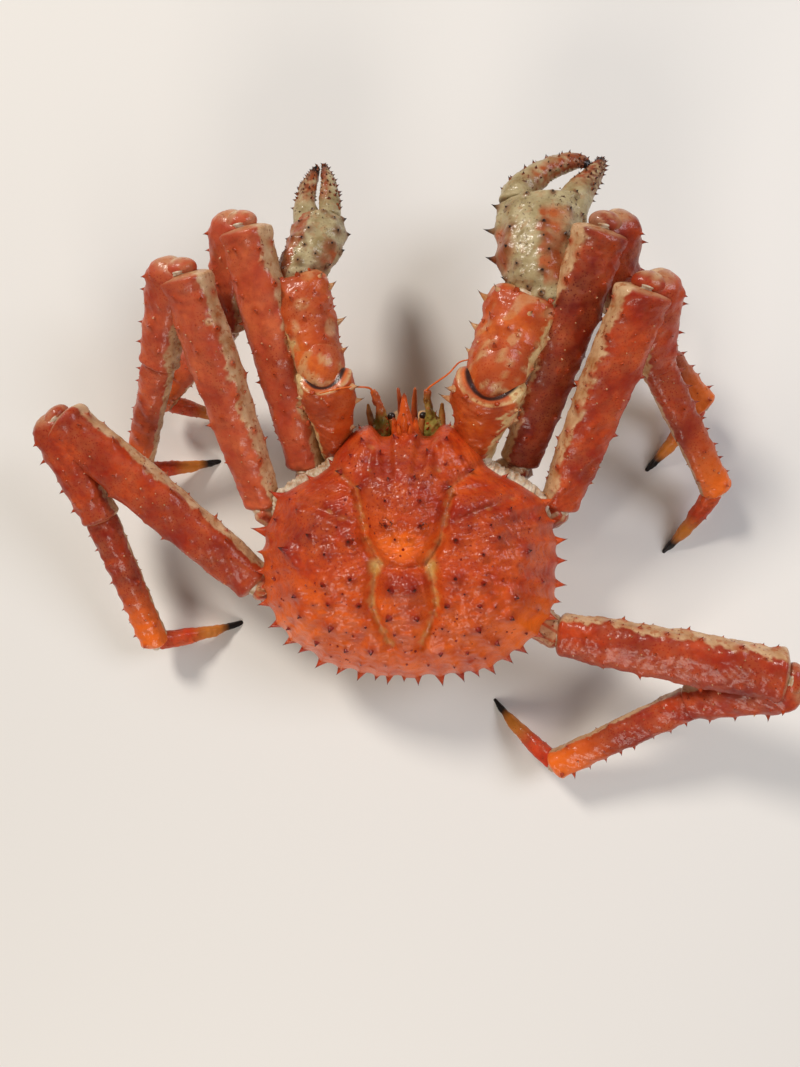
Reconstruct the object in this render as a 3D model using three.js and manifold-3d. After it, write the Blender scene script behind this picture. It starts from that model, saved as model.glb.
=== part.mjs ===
import * as THREE from "three";
import { mergeVertices } from "three/addons/utils/BufferGeometryUtils.js";
import Module from "manifold-3d";

// Red king crab, life size, in millimetres. The head looks along -Y, the crab's left is +X,
// and the six walking legs stand on the plane z = 0 while the limbs are laid out. The legs are
// folded sharply at the knee and the claws are stretched forward.

const wasm = await Module();
wasm.setup();

const gap = 0.3;
const rimHeight = 66;
const rimSlope = -0.12;
const domeRise = 37;
const wallDepth = 18;
const wallInset = 12;
const bellyHeight = 20;

// Half outline of the shell seen from above, from the middle of the front to the rear: [x, y].
const shellOutline = [
  [0, -72], [27, -71], [35.5, -63], [43, -54], [44, -49], [55, -42], [67, -38], [78, -30],
  [86, -11], [88, 6], [87, 20], [86, 32], [80, 45], [72, 55], [63, 60], [55, 67], [49, 70],
  [32, 74], [16, 76.6], [0, 72],
];

// Half outline of the body under the shell, in the same order.
const bodyOutline = [
  [0, -58], [16, -56], [30, -46], [44, -34], [56, -10], [58, 10], [52, 35], [40, 52], [20, 61],
  [0, 63],
];

// Swellings of the shell: [x, y, spread along x, spread along y, height].
const swellings = [
  [48, 16, 22, 30, 6], [-48, 16, 22, 30, 6], [0, -30, 15, 20, 6], [0, 26, 9, 16, 5],
  [42, -30, 14, 12, 3], [-42, -30, 14, 12, 3],
];

// Furrows of the shell, each a row of pits along a line: [x0, y0, x1, y1, depth].
const furrows = [
  [26, -34, 20, -6, 6], [20, -6, 12, 8, 7], [12, 8, -12, 8, 3], [-12, 8, -20, -6, 7],
  [-20, -6, -26, -34, 6], [15, 10, 18, 32, 5], [-15, 10, -18, 32, 5], [18, 32, 7, 58, 4],
  [-18, 32, -7, 58, 4], [26, -34, 40, -46, 4], [-26, -34, -40, -46, 4], [30, -14, 62, -30, 3],
  [-30, -14, -62, -30, 3],
];
const furrowSpread = 4.5;

// The joints of each leg, from the body to the toe: root, hip, knee, bend, ankle, toe.
const legJoints = {
  leg2_left: [[40, -30, 37], [61.6, -48.1, 53], [86, -176.2, 108], [104.8, -133.7, 72],
    [164.8, -96.4, 26], [118, -87, 0]],
  leg2_right: [[-40, -30, 37], [-64.5, -49.5, 53], [-105, -169.3, 108], [-119.6, -139.2, 72],
    [-176.7, -89.6, 26], [-150, -50, 0]],
  leg3_left: [[48, -5, 36], [87.9, -25.1, 54], [117.8, -150.4, 112], [144.1, -110.9, 78],
    [179.6, -51, 26], [132.4, -58.8, 0]],
  leg3_right: [[-48, -5, 36], [-87.1, -24, 54], [-125.9, -136.3, 112], [-139.4, -105.7, 72],
    [-186.2, -37.4, 26], [-160.7, 3, 0]],
  leg4_left: [[46, 20, 36], [91.6, 21.7, 54], [201.8, -76.3, 84], [188.1, -20.8, 62],
    [168.6, 60.5, 25], [117.1, 50.4, 0]],
  leg4_right: [[-44, 24, 36], [-86.6, 49, 54], [-206.4, 67.3, 86], [-165, 87, 54],
    [-90.3, 134.6, 24], [-51.9, 99.6, 0]],
};

// The knee cap starts past the end of the merus and a little to the inside of the bend.
const kneeReach = 8;
const kneeOffset = 3;
const toeSink = 0.7;

// Half height in the plane of the bend and half width across it, at shares of the length.
const baseSections = [[0, 11, 11], [0.6, 11, 10.5], [1, 10, 9.5]];
const slimMerus = [[0, 11.5, 9], [0.35, 14, 10.5], [0.7, 15.5, 11], [1, 14, 11]];
const broadMerus = [[0, 12.5, 9.5], [0.2, 14.5, 11], [0.7, 15.5, 11.5], [1, 14, 11]];
const meriSections = { leg2: slimMerus, leg3: slimMerus, leg4: broadMerus };
const carpusSections = [[0, 10, 10], [0.2, 13, 11.5], [0.55, 11.5, 10.5], [1, 10.5, 9.5]];
const propodusSections = [[0, 9.6, 8.4], [0.5, 8.8, 7.4], [1, 8.8, 7.6]];
const dactylusSections = [[0, 6.2, 5.2, 0], [0.3, 5.6, 4.6, 1.6], [0.6, 4.1, 3.5, 2],
  [0.85, 2.3, 2.1, 1], [1, 1.3, 1.2, 0]];

// The claw arms: their joints from the body to the wrist, and half sizes of each length.
const armJoints = {
  right: [[-20, -38, 38], [-34.9, -47.6, 50], [-46.7, -89.2, 92], [-65.5, -133.8, 90]],
  left: [[20, -38, 38], [41.4, -47.7, 50], [44.1, -94.1, 92], [58.6, -147.5, 90]],
};
const armScale = { right: 1, left: 0.8 };
const upperArmSections = [[0, 13, 13], [0.5, 16, 17], [0.85, 17, 19], [1, 15, 18]];
const foreArmSections = [[0, 14, 16], [0.4, 17, 18.5], [0.8, 18, 19.5], [1, 16, 18]];

// The palms: distance along the palm, sideways middle (toward the other claw positive),
// half width and half depth. The fingers are curves through [along, sideways, up, half size].
const palms = {
  right: {
    origin: [-74.8, -127.3, 89],
    pitch: -10.3,
    inward: 1,
    sections: [[-2, -5, 9, 11], [8, -3, 13, 15], [20, 0, 20, 18], [37, 2.5, 24, 19.5],
      [55, 1.5, 25, 18.5], [66, -3, 24, 16], [72, -8, 18, 13]],
    fixed: [[58, -14, 0, 12], [72, -21, 0, 9], [82, -28, 0, 6.5], [90, -33.5, 0, 4],
      [95, -34.5, 0, 1.8]],
    moving: [[66, 12, 1, 11], [75, 9, 1.5, 10.5], [84, -3, 2, 8], [90, -15, 2, 6],
      [92, -23, 1.5, 4], [89, -29, 1, 1.6]],
  },
  left: {
    origin: [53.1, -146, 89],
    pitch: -12,
    inward: -1,
    sections: [[-2, -11, 8, 9], [6, -8, 12, 12], [14, -4, 15, 13.5], [24, 0.5, 16, 14],
      [33, 3.5, 15.2, 13], [42, 4, 13, 11], [47, 3.5, 10, 9]],
    fixed: [[36, -2, 0, 9], [50, -4.6, 0, 6.8], [61, -4.4, 0, 5.2], [71, -1.6, 0, 3.4],
      [78, 1.6, 0, 1.3]],
    moving: [[43, 9.5, 1, 6.4], [53, 9.4, 1, 6], [63, 8.6, 1, 4.8], [72, 6.6, 0.8, 3],
      [78.5, 4.8, 0.5, 1.3]],
  },
};

const shellLook = { colour: 0xc8492c, roughness: 0.42 };
const limbLook = { colour: 0xc4452b, roughness: 0.45 };
const clawLook = { colour: 0xd8b98a, roughness: 0.5 };
const toeLook = { colour: 0xa83a20, roughness: 0.4 };
const paleLook = { colour: 0xe2c7a0, roughness: 0.55 };
const feelerLook = { colour: 0xb8552c, roughness: 0.5 };
const eyeLook = { colour: 0x140f0d, roughness: 0.15 };

const group = new THREE.Group();

function toSolid(geometry) {
  geometry.deleteAttribute("normal");
  geometry.deleteAttribute("uv");
  const merged = mergeVertices(geometry, 1e-4);
  return new wasm.Manifold(new wasm.Mesh({
    numProp: 3,
    vertProperties: new Float32Array(merged.attributes.position.array),
    triVerts: new Uint32Array(merged.index.array),
  }));
}

function largest(solid) {
  const pieces = solid.decompose();
  return pieces.reduce((best, piece) => (piece.volume() > best.volume() ? piece : best));
}

function apart(one, other) {
  const [a, b] = [one.boundingBox(), other.boundingBox()];
  return [0, 1, 2].some((k) => a.min[k] > b.max[k] || b.min[k] > a.max[k]);
}

// Slightly larger copies of the pieces already in place; each later piece is cut by them, so
// that it meets them face to face with a small gap.
const taken = [];

// A piece from its body, a function of how much it is grown, and its spines. The mesh is kept
// in the axes of its own joint and placed by position and rotation.
function addNode(name, body, spines, matrix, look) {
  let solid = wasm.Manifold.union([body(0), ...spines.map((thorn) => spineSolid(thorn, 0))]);
  for (const other of taken) {
    solid = apart(solid, other) ? solid : solid.subtract(other);
  }
  taken.push(wasm.Manifold.union([body(gap), ...spines.map((thorn) => spineSolid(thorn, gap))]));
  const inverse = matrix.clone().invert();
  const mesh = largest(solid).transform(inverse.elements).getMesh();
  const geometry = new THREE.BufferGeometry();
  const spots = [];
  for (let i = 0; i < mesh.numVert; i += 1) {
    const start = i * mesh.numProp;
    spots.push(...mesh.vertProperties.slice(start, start + 3));
  }
  geometry.setAttribute("position", new THREE.Float32BufferAttribute(spots, 3));
  geometry.setIndex(Array.from(mesh.triVerts));
  geometry.computeVertexNormals();
  const material = new THREE.MeshStandardMaterial({
    color: look.colour,
    roughness: look.roughness,
    metalness: 0,
  });
  const piece = new THREE.Mesh(geometry, material);
  piece.name = name;
  piece.position.setFromMatrixPosition(matrix);
  piece.quaternion.setFromRotationMatrix(matrix);
  group.add(piece);
}

function point(list) {
  return new THREE.Vector3(list[0], list[1], list[2]);
}

// Axes with X along a limb piece and Y toward the outer side of its bend.
function limbAxes(from, to, outward) {
  const along = to.clone().sub(from).normalize();
  const side = along.clone().cross(outward).normalize();
  const outer = side.clone().cross(along).normalize();
  return new THREE.Matrix4().makeBasis(along, outer, side).setPosition(from);
}

function sectionAt(sections, t) {
  let k = 1;
  while (k < sections.length - 1 && sections[k][0] < t) {
    k += 1;
  }
  const [low, high] = [sections[k - 1], sections[k]];
  const share = Math.min(1, Math.max(0, (t - low[0]) / (high[0] - low[0])));
  const eased = share * share * (3 - 2 * share);
  return low.map((value, n) => value + (high[n] - value) * (n === 0 ? share : eased));
}

// The end of a limb piece closes as a quarter ellipse over a share of its length.
function endRound(t, share) {
  const k = 1 - Math.min(1, t / share);
  return Math.sqrt(Math.max(0, 1 - k * k));
}

// A limb piece along +X, made from a sphere whose rings follow the sections.
function limbPiece(length, sections, options, grow = 0) {
  const { sides, rings, start, end } = options;
  const geometry = new THREE.SphereGeometry(1, sides, rings);
  const spots = geometry.attributes.position;
  for (let i = 0; i < spots.count; i += 1) {
    const t = Math.min(1, Math.max(0, (1 - spots.getY(i)) / 2));
    const around = Math.atan2(spots.getZ(i), spots.getX(i));
    const [, halfHeight, halfWidth, rise = 0] = sectionAt(sections, t);
    const round = endRound(t, start / length) * endRound(1 - t, end / length);
    spots.setXYZ(
      i,
      t * (length + 2 * grow) - grow,
      rise + (halfHeight + grow) * round * Math.cos(around),
      (halfWidth + grow) * round * Math.sin(around),
    );
  }
  return toSolid(geometry);
}

// A bent horn through points [x, y, z, half size], thickest where it starts.
function hornPiece(points, sides, rings, grow = 0) {
  const curve = new THREE.CatmullRomCurve3(points.map(point));
  const sizes = points.map((entry, n) => [n / (points.length - 1), entry[3]]);
  const geometry = new THREE.SphereGeometry(1, sides, rings);
  const spots = geometry.attributes.position;
  for (let i = 0; i < spots.count; i += 1) {
    const t = Math.min(1, Math.max(0, (1 - spots.getY(i)) / 2));
    const around = Math.atan2(spots.getZ(i), spots.getX(i));
    const centre = curve.getPoint(t);
    const along = curve.getTangent(t);
    const side = new THREE.Vector3(0, 0, 1).cross(along).normalize();
    const up = along.clone().cross(side);
    const ends = endRound(t, 0.08) * endRound(1 - t, 0.08);
    const radius = (sectionAt(sizes, t)[1] + grow) * ends;
    centre.addScaledVector(along, grow * (2 * t - 1));
    centre.addScaledVector(side, radius * Math.cos(around));
    centre.addScaledVector(up, radius * Math.sin(around));
    spots.setXYZ(i, centre.x, centre.y, centre.z);
  }
  return toSolid(geometry);
}

function placed(solid, matrix) {
  return solid.transform(matrix.elements);
}

function box(size, centre) {
  const geometry = new THREE.BoxGeometry(...size);
  geometry.translate(...centre);
  return toSolid(geometry);
}

// Repeatable small variations, from a running seed.
let seed = 7;
function vary(low, high) {
  seed = (seed * 1103515245 + 12345) % 2147483648;
  return low + ((high - low) * seed) / 2147483648;
}

const spineSizes = {
  long: { radius: 3, height: 7.5, sides: 5 },
  rim: { radius: 2.6, height: 5.5, sides: 5 },
  stout: { radius: 2.7, height: 5, sides: 5 },
  middle: { radius: 2.1, height: 3.8, sides: 5 },
  low: { radius: 1.8, height: 2.4, sides: 4 },
};

// A spine: where its foot is, which way it points, and its size.
function spine(foot, direction, size) {
  const height = size.height * vary(0.85, 1.15);
  return { ...size, foot, direction: direction.clone().normalize(), height };
}

function spineSolid(thorn, grow) {
  const sunk = thorn.radius * 1.3;
  const height = thorn.height + sunk + 2 * grow;
  const cone = new THREE.ConeGeometry(thorn.radius + grow, height, thorn.sides, 1);
  cone.translate(0, height / 2 - sunk, 0);
  const upright = new THREE.Vector3(0, 1, 0);
  cone.applyQuaternion(new THREE.Quaternion().setFromUnitVectors(upright, thorn.direction));
  cone.translate(thorn.foot.x, thorn.foot.y, thorn.foot.z);
  return toSolid(cone);
}

// Spines on a limb piece at [share of its length, angle around it, size]; the angle is 0 on the
// outer side of the bend, and 90 on the side that turn picks.
function spinesOn(list, matrix, length, sections, turn, start = 0) {
  return list.map(([share, degrees, size]) => {
    const t = share + vary(-0.015, 0.015);
    const angle = ((degrees + vary(-5, 5)) * Math.PI) / 180;
    const [, halfHeight, halfWidth, rise = 0] = sectionAt(sections, t);
    const foot = new THREE.Vector3(start + t * length, rise + halfHeight * Math.cos(angle),
      turn * halfWidth * Math.sin(angle));
    const lean = new THREE.Vector3(0.35, Math.cos(angle), turn * Math.sin(angle));
    foot.applyMatrix4(matrix);
    lean.transformDirection(matrix);
    return spine(foot, lean, spineSizes[size]);
  });
}

// Spines on a bent horn, placed in the same way around its curve.
function spinesAlong(list, points, matrix) {
  const curve = new THREE.CatmullRomCurve3(points.map(point));
  const sizes = points.map((entry, n) => [n / (points.length - 1), entry[3]]);
  return list.map(([t, degrees, size]) => {
    const angle = (degrees * Math.PI) / 180;
    const along = curve.getTangent(t);
    const side = new THREE.Vector3(0, 0, 1).cross(along).normalize();
    const lean = along.clone().cross(side).multiplyScalar(Math.sin(angle));
    lean.addScaledVector(side, Math.cos(angle));
    const foot = curve.getPoint(t).addScaledVector(lean, sectionAt(sizes, t)[1]);
    lean.addScaledVector(along, 0.3).transformDirection(matrix);
    return spine(foot.applyMatrix4(matrix), lean, spineSizes[size]);
  });
}

// Spines on one half of the shell's top: [x, y, size].
const topSpines = [
  [6.2, 23, "stout"], [7.6, 39, "stout"], [4.8, 50, "middle"], [9.2, -14.5, "stout"],
  [9.6, -28, "middle"], [6.9, -41, "middle"], [23.6, -36, "stout"], [16, -56, "middle"],
  [29.6, -4.6, "long"], [29.6, 15.7, "stout"], [25.5, 32, "middle"], [22.6, 46, "stout"],
  [20.3, 60.3, "middle"], [53.4, -7.5, "stout"], [48, 4, "stout"], [45, 18.6, "stout"],
  [43.5, 32, "middle"], [43.5, 47, "stout"], [36, 60, "middle"], [54.5, -19, "middle"],
  [71, 1.7, "stout"], [63, 16, "middle"], [64, 28, "stout"], [61, 42, "middle"],
  [35, -46, "stout"], [72, -16, "middle"], [74, 20, "low"], [40, -22, "middle"],
];
const rimSpineCount = 17;
const rimSpineSpan = [24, 173];

// Distance from the middle to a half outline in a direction; the angle starts at the front.
function outlineRadius(outline, angle) {
  const folded = Math.abs(angle);
  const corners = outline.map(([x, y]) => [Math.atan2(x, -y), Math.hypot(x, y)]);
  let k = 1;
  while (k < corners.length - 1 && corners[k][0] < folded) {
    k += 1;
  }
  const [low, high] = [corners[k - 1], corners[k]];
  const share = Math.min(1, Math.max(0, (folded - low[0]) / (high[0] - low[0])));
  return low[1] + (high[1] - low[1]) * share;
}

function rimAt(y) {
  return rimHeight + rimSlope * y;
}

function hump(x, y) {
  let height = 0;
  for (const [cx, cy, sx, sy, rise] of swellings) {
    height += rise * Math.exp(-(((x - cx) / sx) ** 2) - ((y - cy) / sy) ** 2);
  }
  let depth = 0;
  for (const [x0, y0, x1, y1, deep] of furrows) {
    const length = (x1 - x0) ** 2 + (y1 - y0) ** 2;
    const share = Math.min(1, Math.max(0, ((x - x0) * (x1 - x0) + (y - y0) * (y1 - y0)) / length));
    const off = Math.hypot(x - x0 - share * (x1 - x0), y - y0 - share * (y1 - y0));
    depth = Math.max(depth, deep * Math.exp(-((off / furrowSpread) ** 2)));
  }
  return height - depth;
}

// Height of the shell's top at a share s of the way from the middle to the edge.
function domeAt(x, y, s) {
  const fall = Math.max(0, 1 - s ** 2.6) ** 0.75;
  return rimAt(y) + domeRise * fall + hump(x, y) * Math.min(1, 2.2 * fall);
}

function shellTop(x, y) {
  const reach = outlineRadius(shellOutline, Math.atan2(x, -y));
  return domeAt(x, y, Math.hypot(x, y) / reach);
}

// Rings 0 to 11 run over the dome to the edge, 12 to 14 down the wall, then the flat underside.
const wallRings = { 12: [2, 5], 13: [6, 11], 14: [wallInset, wallDepth] };

function shellBody(grow = 0) {
  const geometry = new THREE.SphereGeometry(1, 50, 15);
  const spots = geometry.attributes.position;
  for (let i = 0; i < spots.count; i += 1) {
    const ring = Math.round((Math.acos(Math.min(1, Math.max(-1, spots.getY(i)))) / Math.PI) * 15);
    const angle = Math.atan2(spots.getX(i), spots.getZ(i));
    const reach = outlineRadius(shellOutline, angle) + grow;
    let radius = 0;
    let drop = wallDepth;
    if (ring <= 11) {
      radius = reach * (ring / 11) ** 0.88;
      drop = 0;
    } else if (ring < 15) {
      radius = reach - wallRings[ring][0];
      drop = wallRings[ring][1];
    }
    const x = radius * Math.sin(angle);
    const y = -radius * Math.cos(angle);
    const z = ring <= 11
      ? domeAt(x, y, Math.min(1, radius / reach)) + grow
      : rimAt(y) - drop - (drop === wallDepth ? grow : 0);
    spots.setXYZ(i, x, y, z);
  }
  return toSolid(geometry);
}

// Rings of the body: share of the outline and height, from the top's middle to the belly's.
const bodyRings = [
  [0, 0], [0.6, 0], [1, 0], [1, -6], [0.9, -16], [0.76, -25], [0.6, -40], [0.3, -40], [0, -40],
];

function trunkBody(grow = 0) {
  const geometry = new THREE.SphereGeometry(1, 24, 8);
  const spots = geometry.attributes.position;
  for (let i = 0; i < spots.count; i += 1) {
    const ring = Math.round((Math.acos(Math.min(1, Math.max(-1, spots.getY(i)))) / Math.PI) * 8);
    const angle = Math.atan2(spots.getX(i), spots.getZ(i));
    const [share, fall] = bodyRings[ring];
    const radius = (outlineRadius(bodyOutline, angle) + grow) * share;
    const y = -radius * Math.cos(angle);
    const top = rimAt(y) - wallDepth - 1.2 * gap;
    const z = Math.max(bellyHeight - grow, top + fall + (fall === 0 ? grow : 0));
    spots.setXYZ(i, radius * Math.sin(angle), y, z);
  }
  return toSolid(geometry);
}

// The rostrum: a middle thorn with a small thorn to each side, over the eyes.
function rostrum(grow) {
  const middle = hornPiece([[0, -58, 80, 7], [0, -70, 84, 5], [0, -80, 88, 2.4],
    [0, -87, 93, 0.8]], 7, 6, grow);
  const parts = [middle];
  for (const side of [-1, 1]) {
    parts.push(hornPiece([[side * 4, -64, 80, 3.4], [side * 6, -72, 84, 2.4],
      [side * 7.5, -78, 89, 0.8]], 5, 4, grow));
  }
  parts.push(hornPiece([[0, -66, 84, 3], [0, -71, 91, 2], [0, -75, 97, 0.8]], 5, 4, grow));
  return parts;
}

// Hollows in the front edge where the eyes and feelers come out.
function eyeHollows(grow) {
  return [-1, 1].map((side) => {
    const hollow = new THREE.SphereGeometry(1, 8, 6);
    hollow.scale(6.5 - grow, 9 - grow, 22);
    hollow.translate(side * 13, -74, 72);
    return toSolid(hollow);
  });
}

function shellPart(grow) {
  let shell = wasm.Manifold.union([shellBody(grow), ...rostrum(grow)]);
  for (const hollow of eyeHollows(grow)) {
    shell = shell.subtract(hollow);
  }
  return shell;
}

function shellThorns() {
  const thorns = [];
  for (const side of [-1, 1]) {
    for (const [x, y, size] of topSpines) {
      const slopeX = (shellTop(x + 2, y) - shellTop(x - 2, y)) / 4;
      const slopeY = (shellTop(x, y + 2) - shellTop(x, y - 2)) / 4;
      const foot = new THREE.Vector3(side * x, y, shellTop(x, y) - 0.4);
      const out = new THREE.Vector3(-side * slopeX, -slopeY - 0.15, 1);
      thorns.push(spine(foot, out, spineSizes[size]));
    }
    for (let k = 0; k < rimSpineCount; k += 1) {
      const share = (k + vary(-0.15, 0.15)) / (rimSpineCount - 1);
      const degrees = rimSpineSpan[0] + (rimSpineSpan[1] - rimSpineSpan[0]) * share;
      const angle = (degrees * Math.PI) / 180;
      const reach = outlineRadius(shellOutline, angle) - 1.5;
      const [x, y] = [side * reach * Math.sin(angle), -reach * Math.cos(angle)];
      const out = new THREE.Vector3(side * Math.sin(angle), -Math.cos(angle), 0.3);
      thorns.push(spine(new THREE.Vector3(x, y, rimAt(y) + 1), out, spineSizes.rim));
    }
  }
  return thorns;
}

addNode("carapace", shellPart, shellThorns(), new THREE.Matrix4().makeTranslation(0, 0, rimHeight),
  shellLook);
addNode("thorax", trunkBody, [], new THREE.Matrix4().makeTranslation(0, 0, 40), paleLook);

// The tail flap is folded forward under the body: [x, y, z, half thickness] along its middle.
const flapPoints = [[0, 70, 40, 4], [0, 66, 26, 5], [0, 50, 17.5, 5], [0, 25, 16, 4.5],
  [0, 0, 15.6, 4], [0, -20, 16, 3], [0, -28, 17, 2]];
const flapWidths = [[0, 30], [0.15, 31], [0.35, 28], [0.6, 21], [0.85, 12], [1, 7]];

function tailFlap(grow) {
  const curve = new THREE.CatmullRomCurve3(flapPoints.map(point));
  const sizes = flapPoints.map((entry, n) => [n / (flapPoints.length - 1), entry[3]]);
  const geometry = new THREE.SphereGeometry(1, 12, 13);
  const spots = geometry.attributes.position;
  for (let i = 0; i < spots.count; i += 1) {
    const t = Math.min(1, Math.max(0, (1 - spots.getY(i)) / 2));
    const around = Math.atan2(spots.getZ(i), spots.getX(i));
    const centre = curve.getPoint(t);
    const along = curve.getTangent(t);
    const up = along.clone().cross(new THREE.Vector3(1, 0, 0)).normalize();
    const round = endRound(t, 0.06) * endRound(1 - t, 0.06);
    const half = (sectionAt(flapWidths, t)[1] + grow) * round;
    const thick = (sectionAt(sizes, t)[1] + grow) * round;
    centre.x += half * Math.cos(around);
    centre.addScaledVector(along, grow * (2 * t - 1));
    centre.addScaledVector(up, thick * Math.sin(around));
    spots.setXYZ(i, centre.x, centre.y, centre.z);
  }
  return toSolid(geometry);
}

addNode("abdomen", tailFlap, [], new THREE.Matrix4().makeTranslation(0, 30, 16), paleLook);

const baseShape = { sides: 8, rings: 5, start: 8, end: 7 };
const meriShape = { sides: 11, rings: 8, start: 7, end: 6 };
const armShape = { sides: 12, rings: 8, start: 8, end: 9 };
const carpusShape = { sides: 10, rings: 7, start: 9, end: 8 };
const propodusShape = { sides: 8, rings: 7, start: 7, end: 6 };
const dactylusShape = { sides: 7, rings: 8, start: 4, end: 1.4 };

// Places on a limb piece: share of its length and angle around it, 0 on the outer side of the
// bend and 90 toward the sky, with the name of the spine's size.
const meriSpines = [
  [0.22, 25, "stout"], [0.36, 18, "middle"], [0.5, 25, "stout"], [0.64, 20, "middle"],
  [0.78, 26, "stout"], [0.3, -28, "middle"], [0.57, -30, "middle"], [0.44, 78, "low"],
  [0.7, 84, "low"], [0.4, 140, "middle"], [0.66, 145, "middle"],
];
const carpusSpines = [
  [0.35, 20, "stout"], [0.62, 25, "middle"], [0.5, -30, "middle"], [0.55, 80, "low"],
];
const propodusSpines = [
  [0.2, 15, "middle"], [0.4, 25, "middle"], [0.6, 15, "low"], [0.8, 22, "middle"],
  [0.3, 80, "low"], [0.62, 85, "low"], [0.5, 160, "low"],
];

const floorSlab = box([600, 600, 40], [0, 0, -20]);

for (const [leg, joints] of Object.entries(legJoints)) {
  const [root, hip, knee, bend, ankle, toe] = joints.map(point);
  const upper = knee.clone().sub(hip).normalize();
  const lower = ankle.clone().sub(knee).normalize();
  const hinge = upper.clone().cross(lower).normalize();
  const kneeOut = upper.clone().cross(hinge).normalize();

  const addLength = (name, from, to, outward, extra, sections, shape, thorns, look) => {
    const axes = limbAxes(from, to, outward);
    const length = from.distanceTo(to);
    const body = (grow) => {
      const solid = placed(limbPiece(length + extra, sections, shape, grow), axes);
      return name === "dactylus" ? solid.subtract(floorSlab) : solid;
    };
    const skyward = axes.elements[10] > 0 ? 1 : -1;
    const spines = spinesOn(thorns, axes, length, sections, skyward);
    addNode(`${leg}_${name}`, body, spines, axes, look);
  };
  const outOf = (from, to) => to.clone().sub(from).normalize().cross(hinge).normalize();

  addLength("base", root, hip, new THREE.Vector3(0, 0, 1), 5, baseSections, baseShape, [],
    limbLook);
  addLength("merus", hip, knee, kneeOut, 0, meriSections[leg.slice(0, 4)], meriShape,
    meriSpines, limbLook);
  const carpusRoot = knee.clone().addScaledVector(kneeOut, -kneeOffset)
    .addScaledVector(upper, kneeReach);
  addLength("carpus", carpusRoot, bend, outOf(carpusRoot, bend), 5, carpusSections,
    carpusShape, carpusSpines, limbLook);
  addLength("propodus", bend, ankle, outOf(bend, ankle), 4, propodusSections, propodusShape,
    propodusSpines, limbLook);
  const tip = toe.clone();
  tip.z = -toeSink;
  const toeHinge = ankle.clone().sub(bend).cross(tip.clone().sub(ankle)).normalize();
  const toeOut = tip.clone().sub(ankle).normalize().cross(toeHinge).normalize();
  addLength("dactylus", ankle, tip, toeOut, 0, dactylusSections, dactylusShape, [], toeLook);
}

// Spines of the claw arms: the angle is 0 on top and 90 on the side of the other claw.
const upperArmSpines = [
  [0.5, 70, "stout"], [0.72, 82, "long"], [0.9, 62, "long"], [0.82, 8, "middle"],
  [0.6, -30, "low"], [0.88, -55, "stout"], [0.66, 35, "middle"],
];
const foreArmSpines = [
  [0.22, 76, "stout"], [0.48, 84, "long"], [0.78, 74, "long"], [0.33, 22, "middle"],
  [0.6, 38, "middle"], [0.72, -14, "middle"], [0.45, -48, "low"], [0.86, 48, "stout"],
  [0.85, -60, "middle"],
];

// Spines of the palm and fingers: the angle is 0 toward the other claw and 90 on top.
const palmSpines = [
  [0.9, 12, "stout"], [0.74, 0, "long"], [0.5, 0, "long"], [0.5, 52, "middle"],
  [0.36, 50, "middle"], [0.68, 48, "middle"], [0.9, 60, "middle"], [0.62, 92, "middle"],
  [0.45, 95, "stout"], [0.26, 88, "middle"], [0.76, 126, "middle"], [0.5, 130, "middle"],
  [0.3, 28, "middle"],
];
const fixedSpines = [
  [0.35, 165, "low"], [0.5, 118, "low"], [0.64, 172, "low"], [0.76, 105, "low"],
];
const movingSpines = [
  [0.3, 20, "middle"], [0.46, 52, "low"], [0.6, 8, "low"], [0.5, 96, "low"],
  [0.74, 62, "low"], [0.84, 12, "low"],
];

function scaled(sections, factor) {
  return sections.map(([t, high, wide]) => [t, high * factor, wide * factor]);
}

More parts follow.
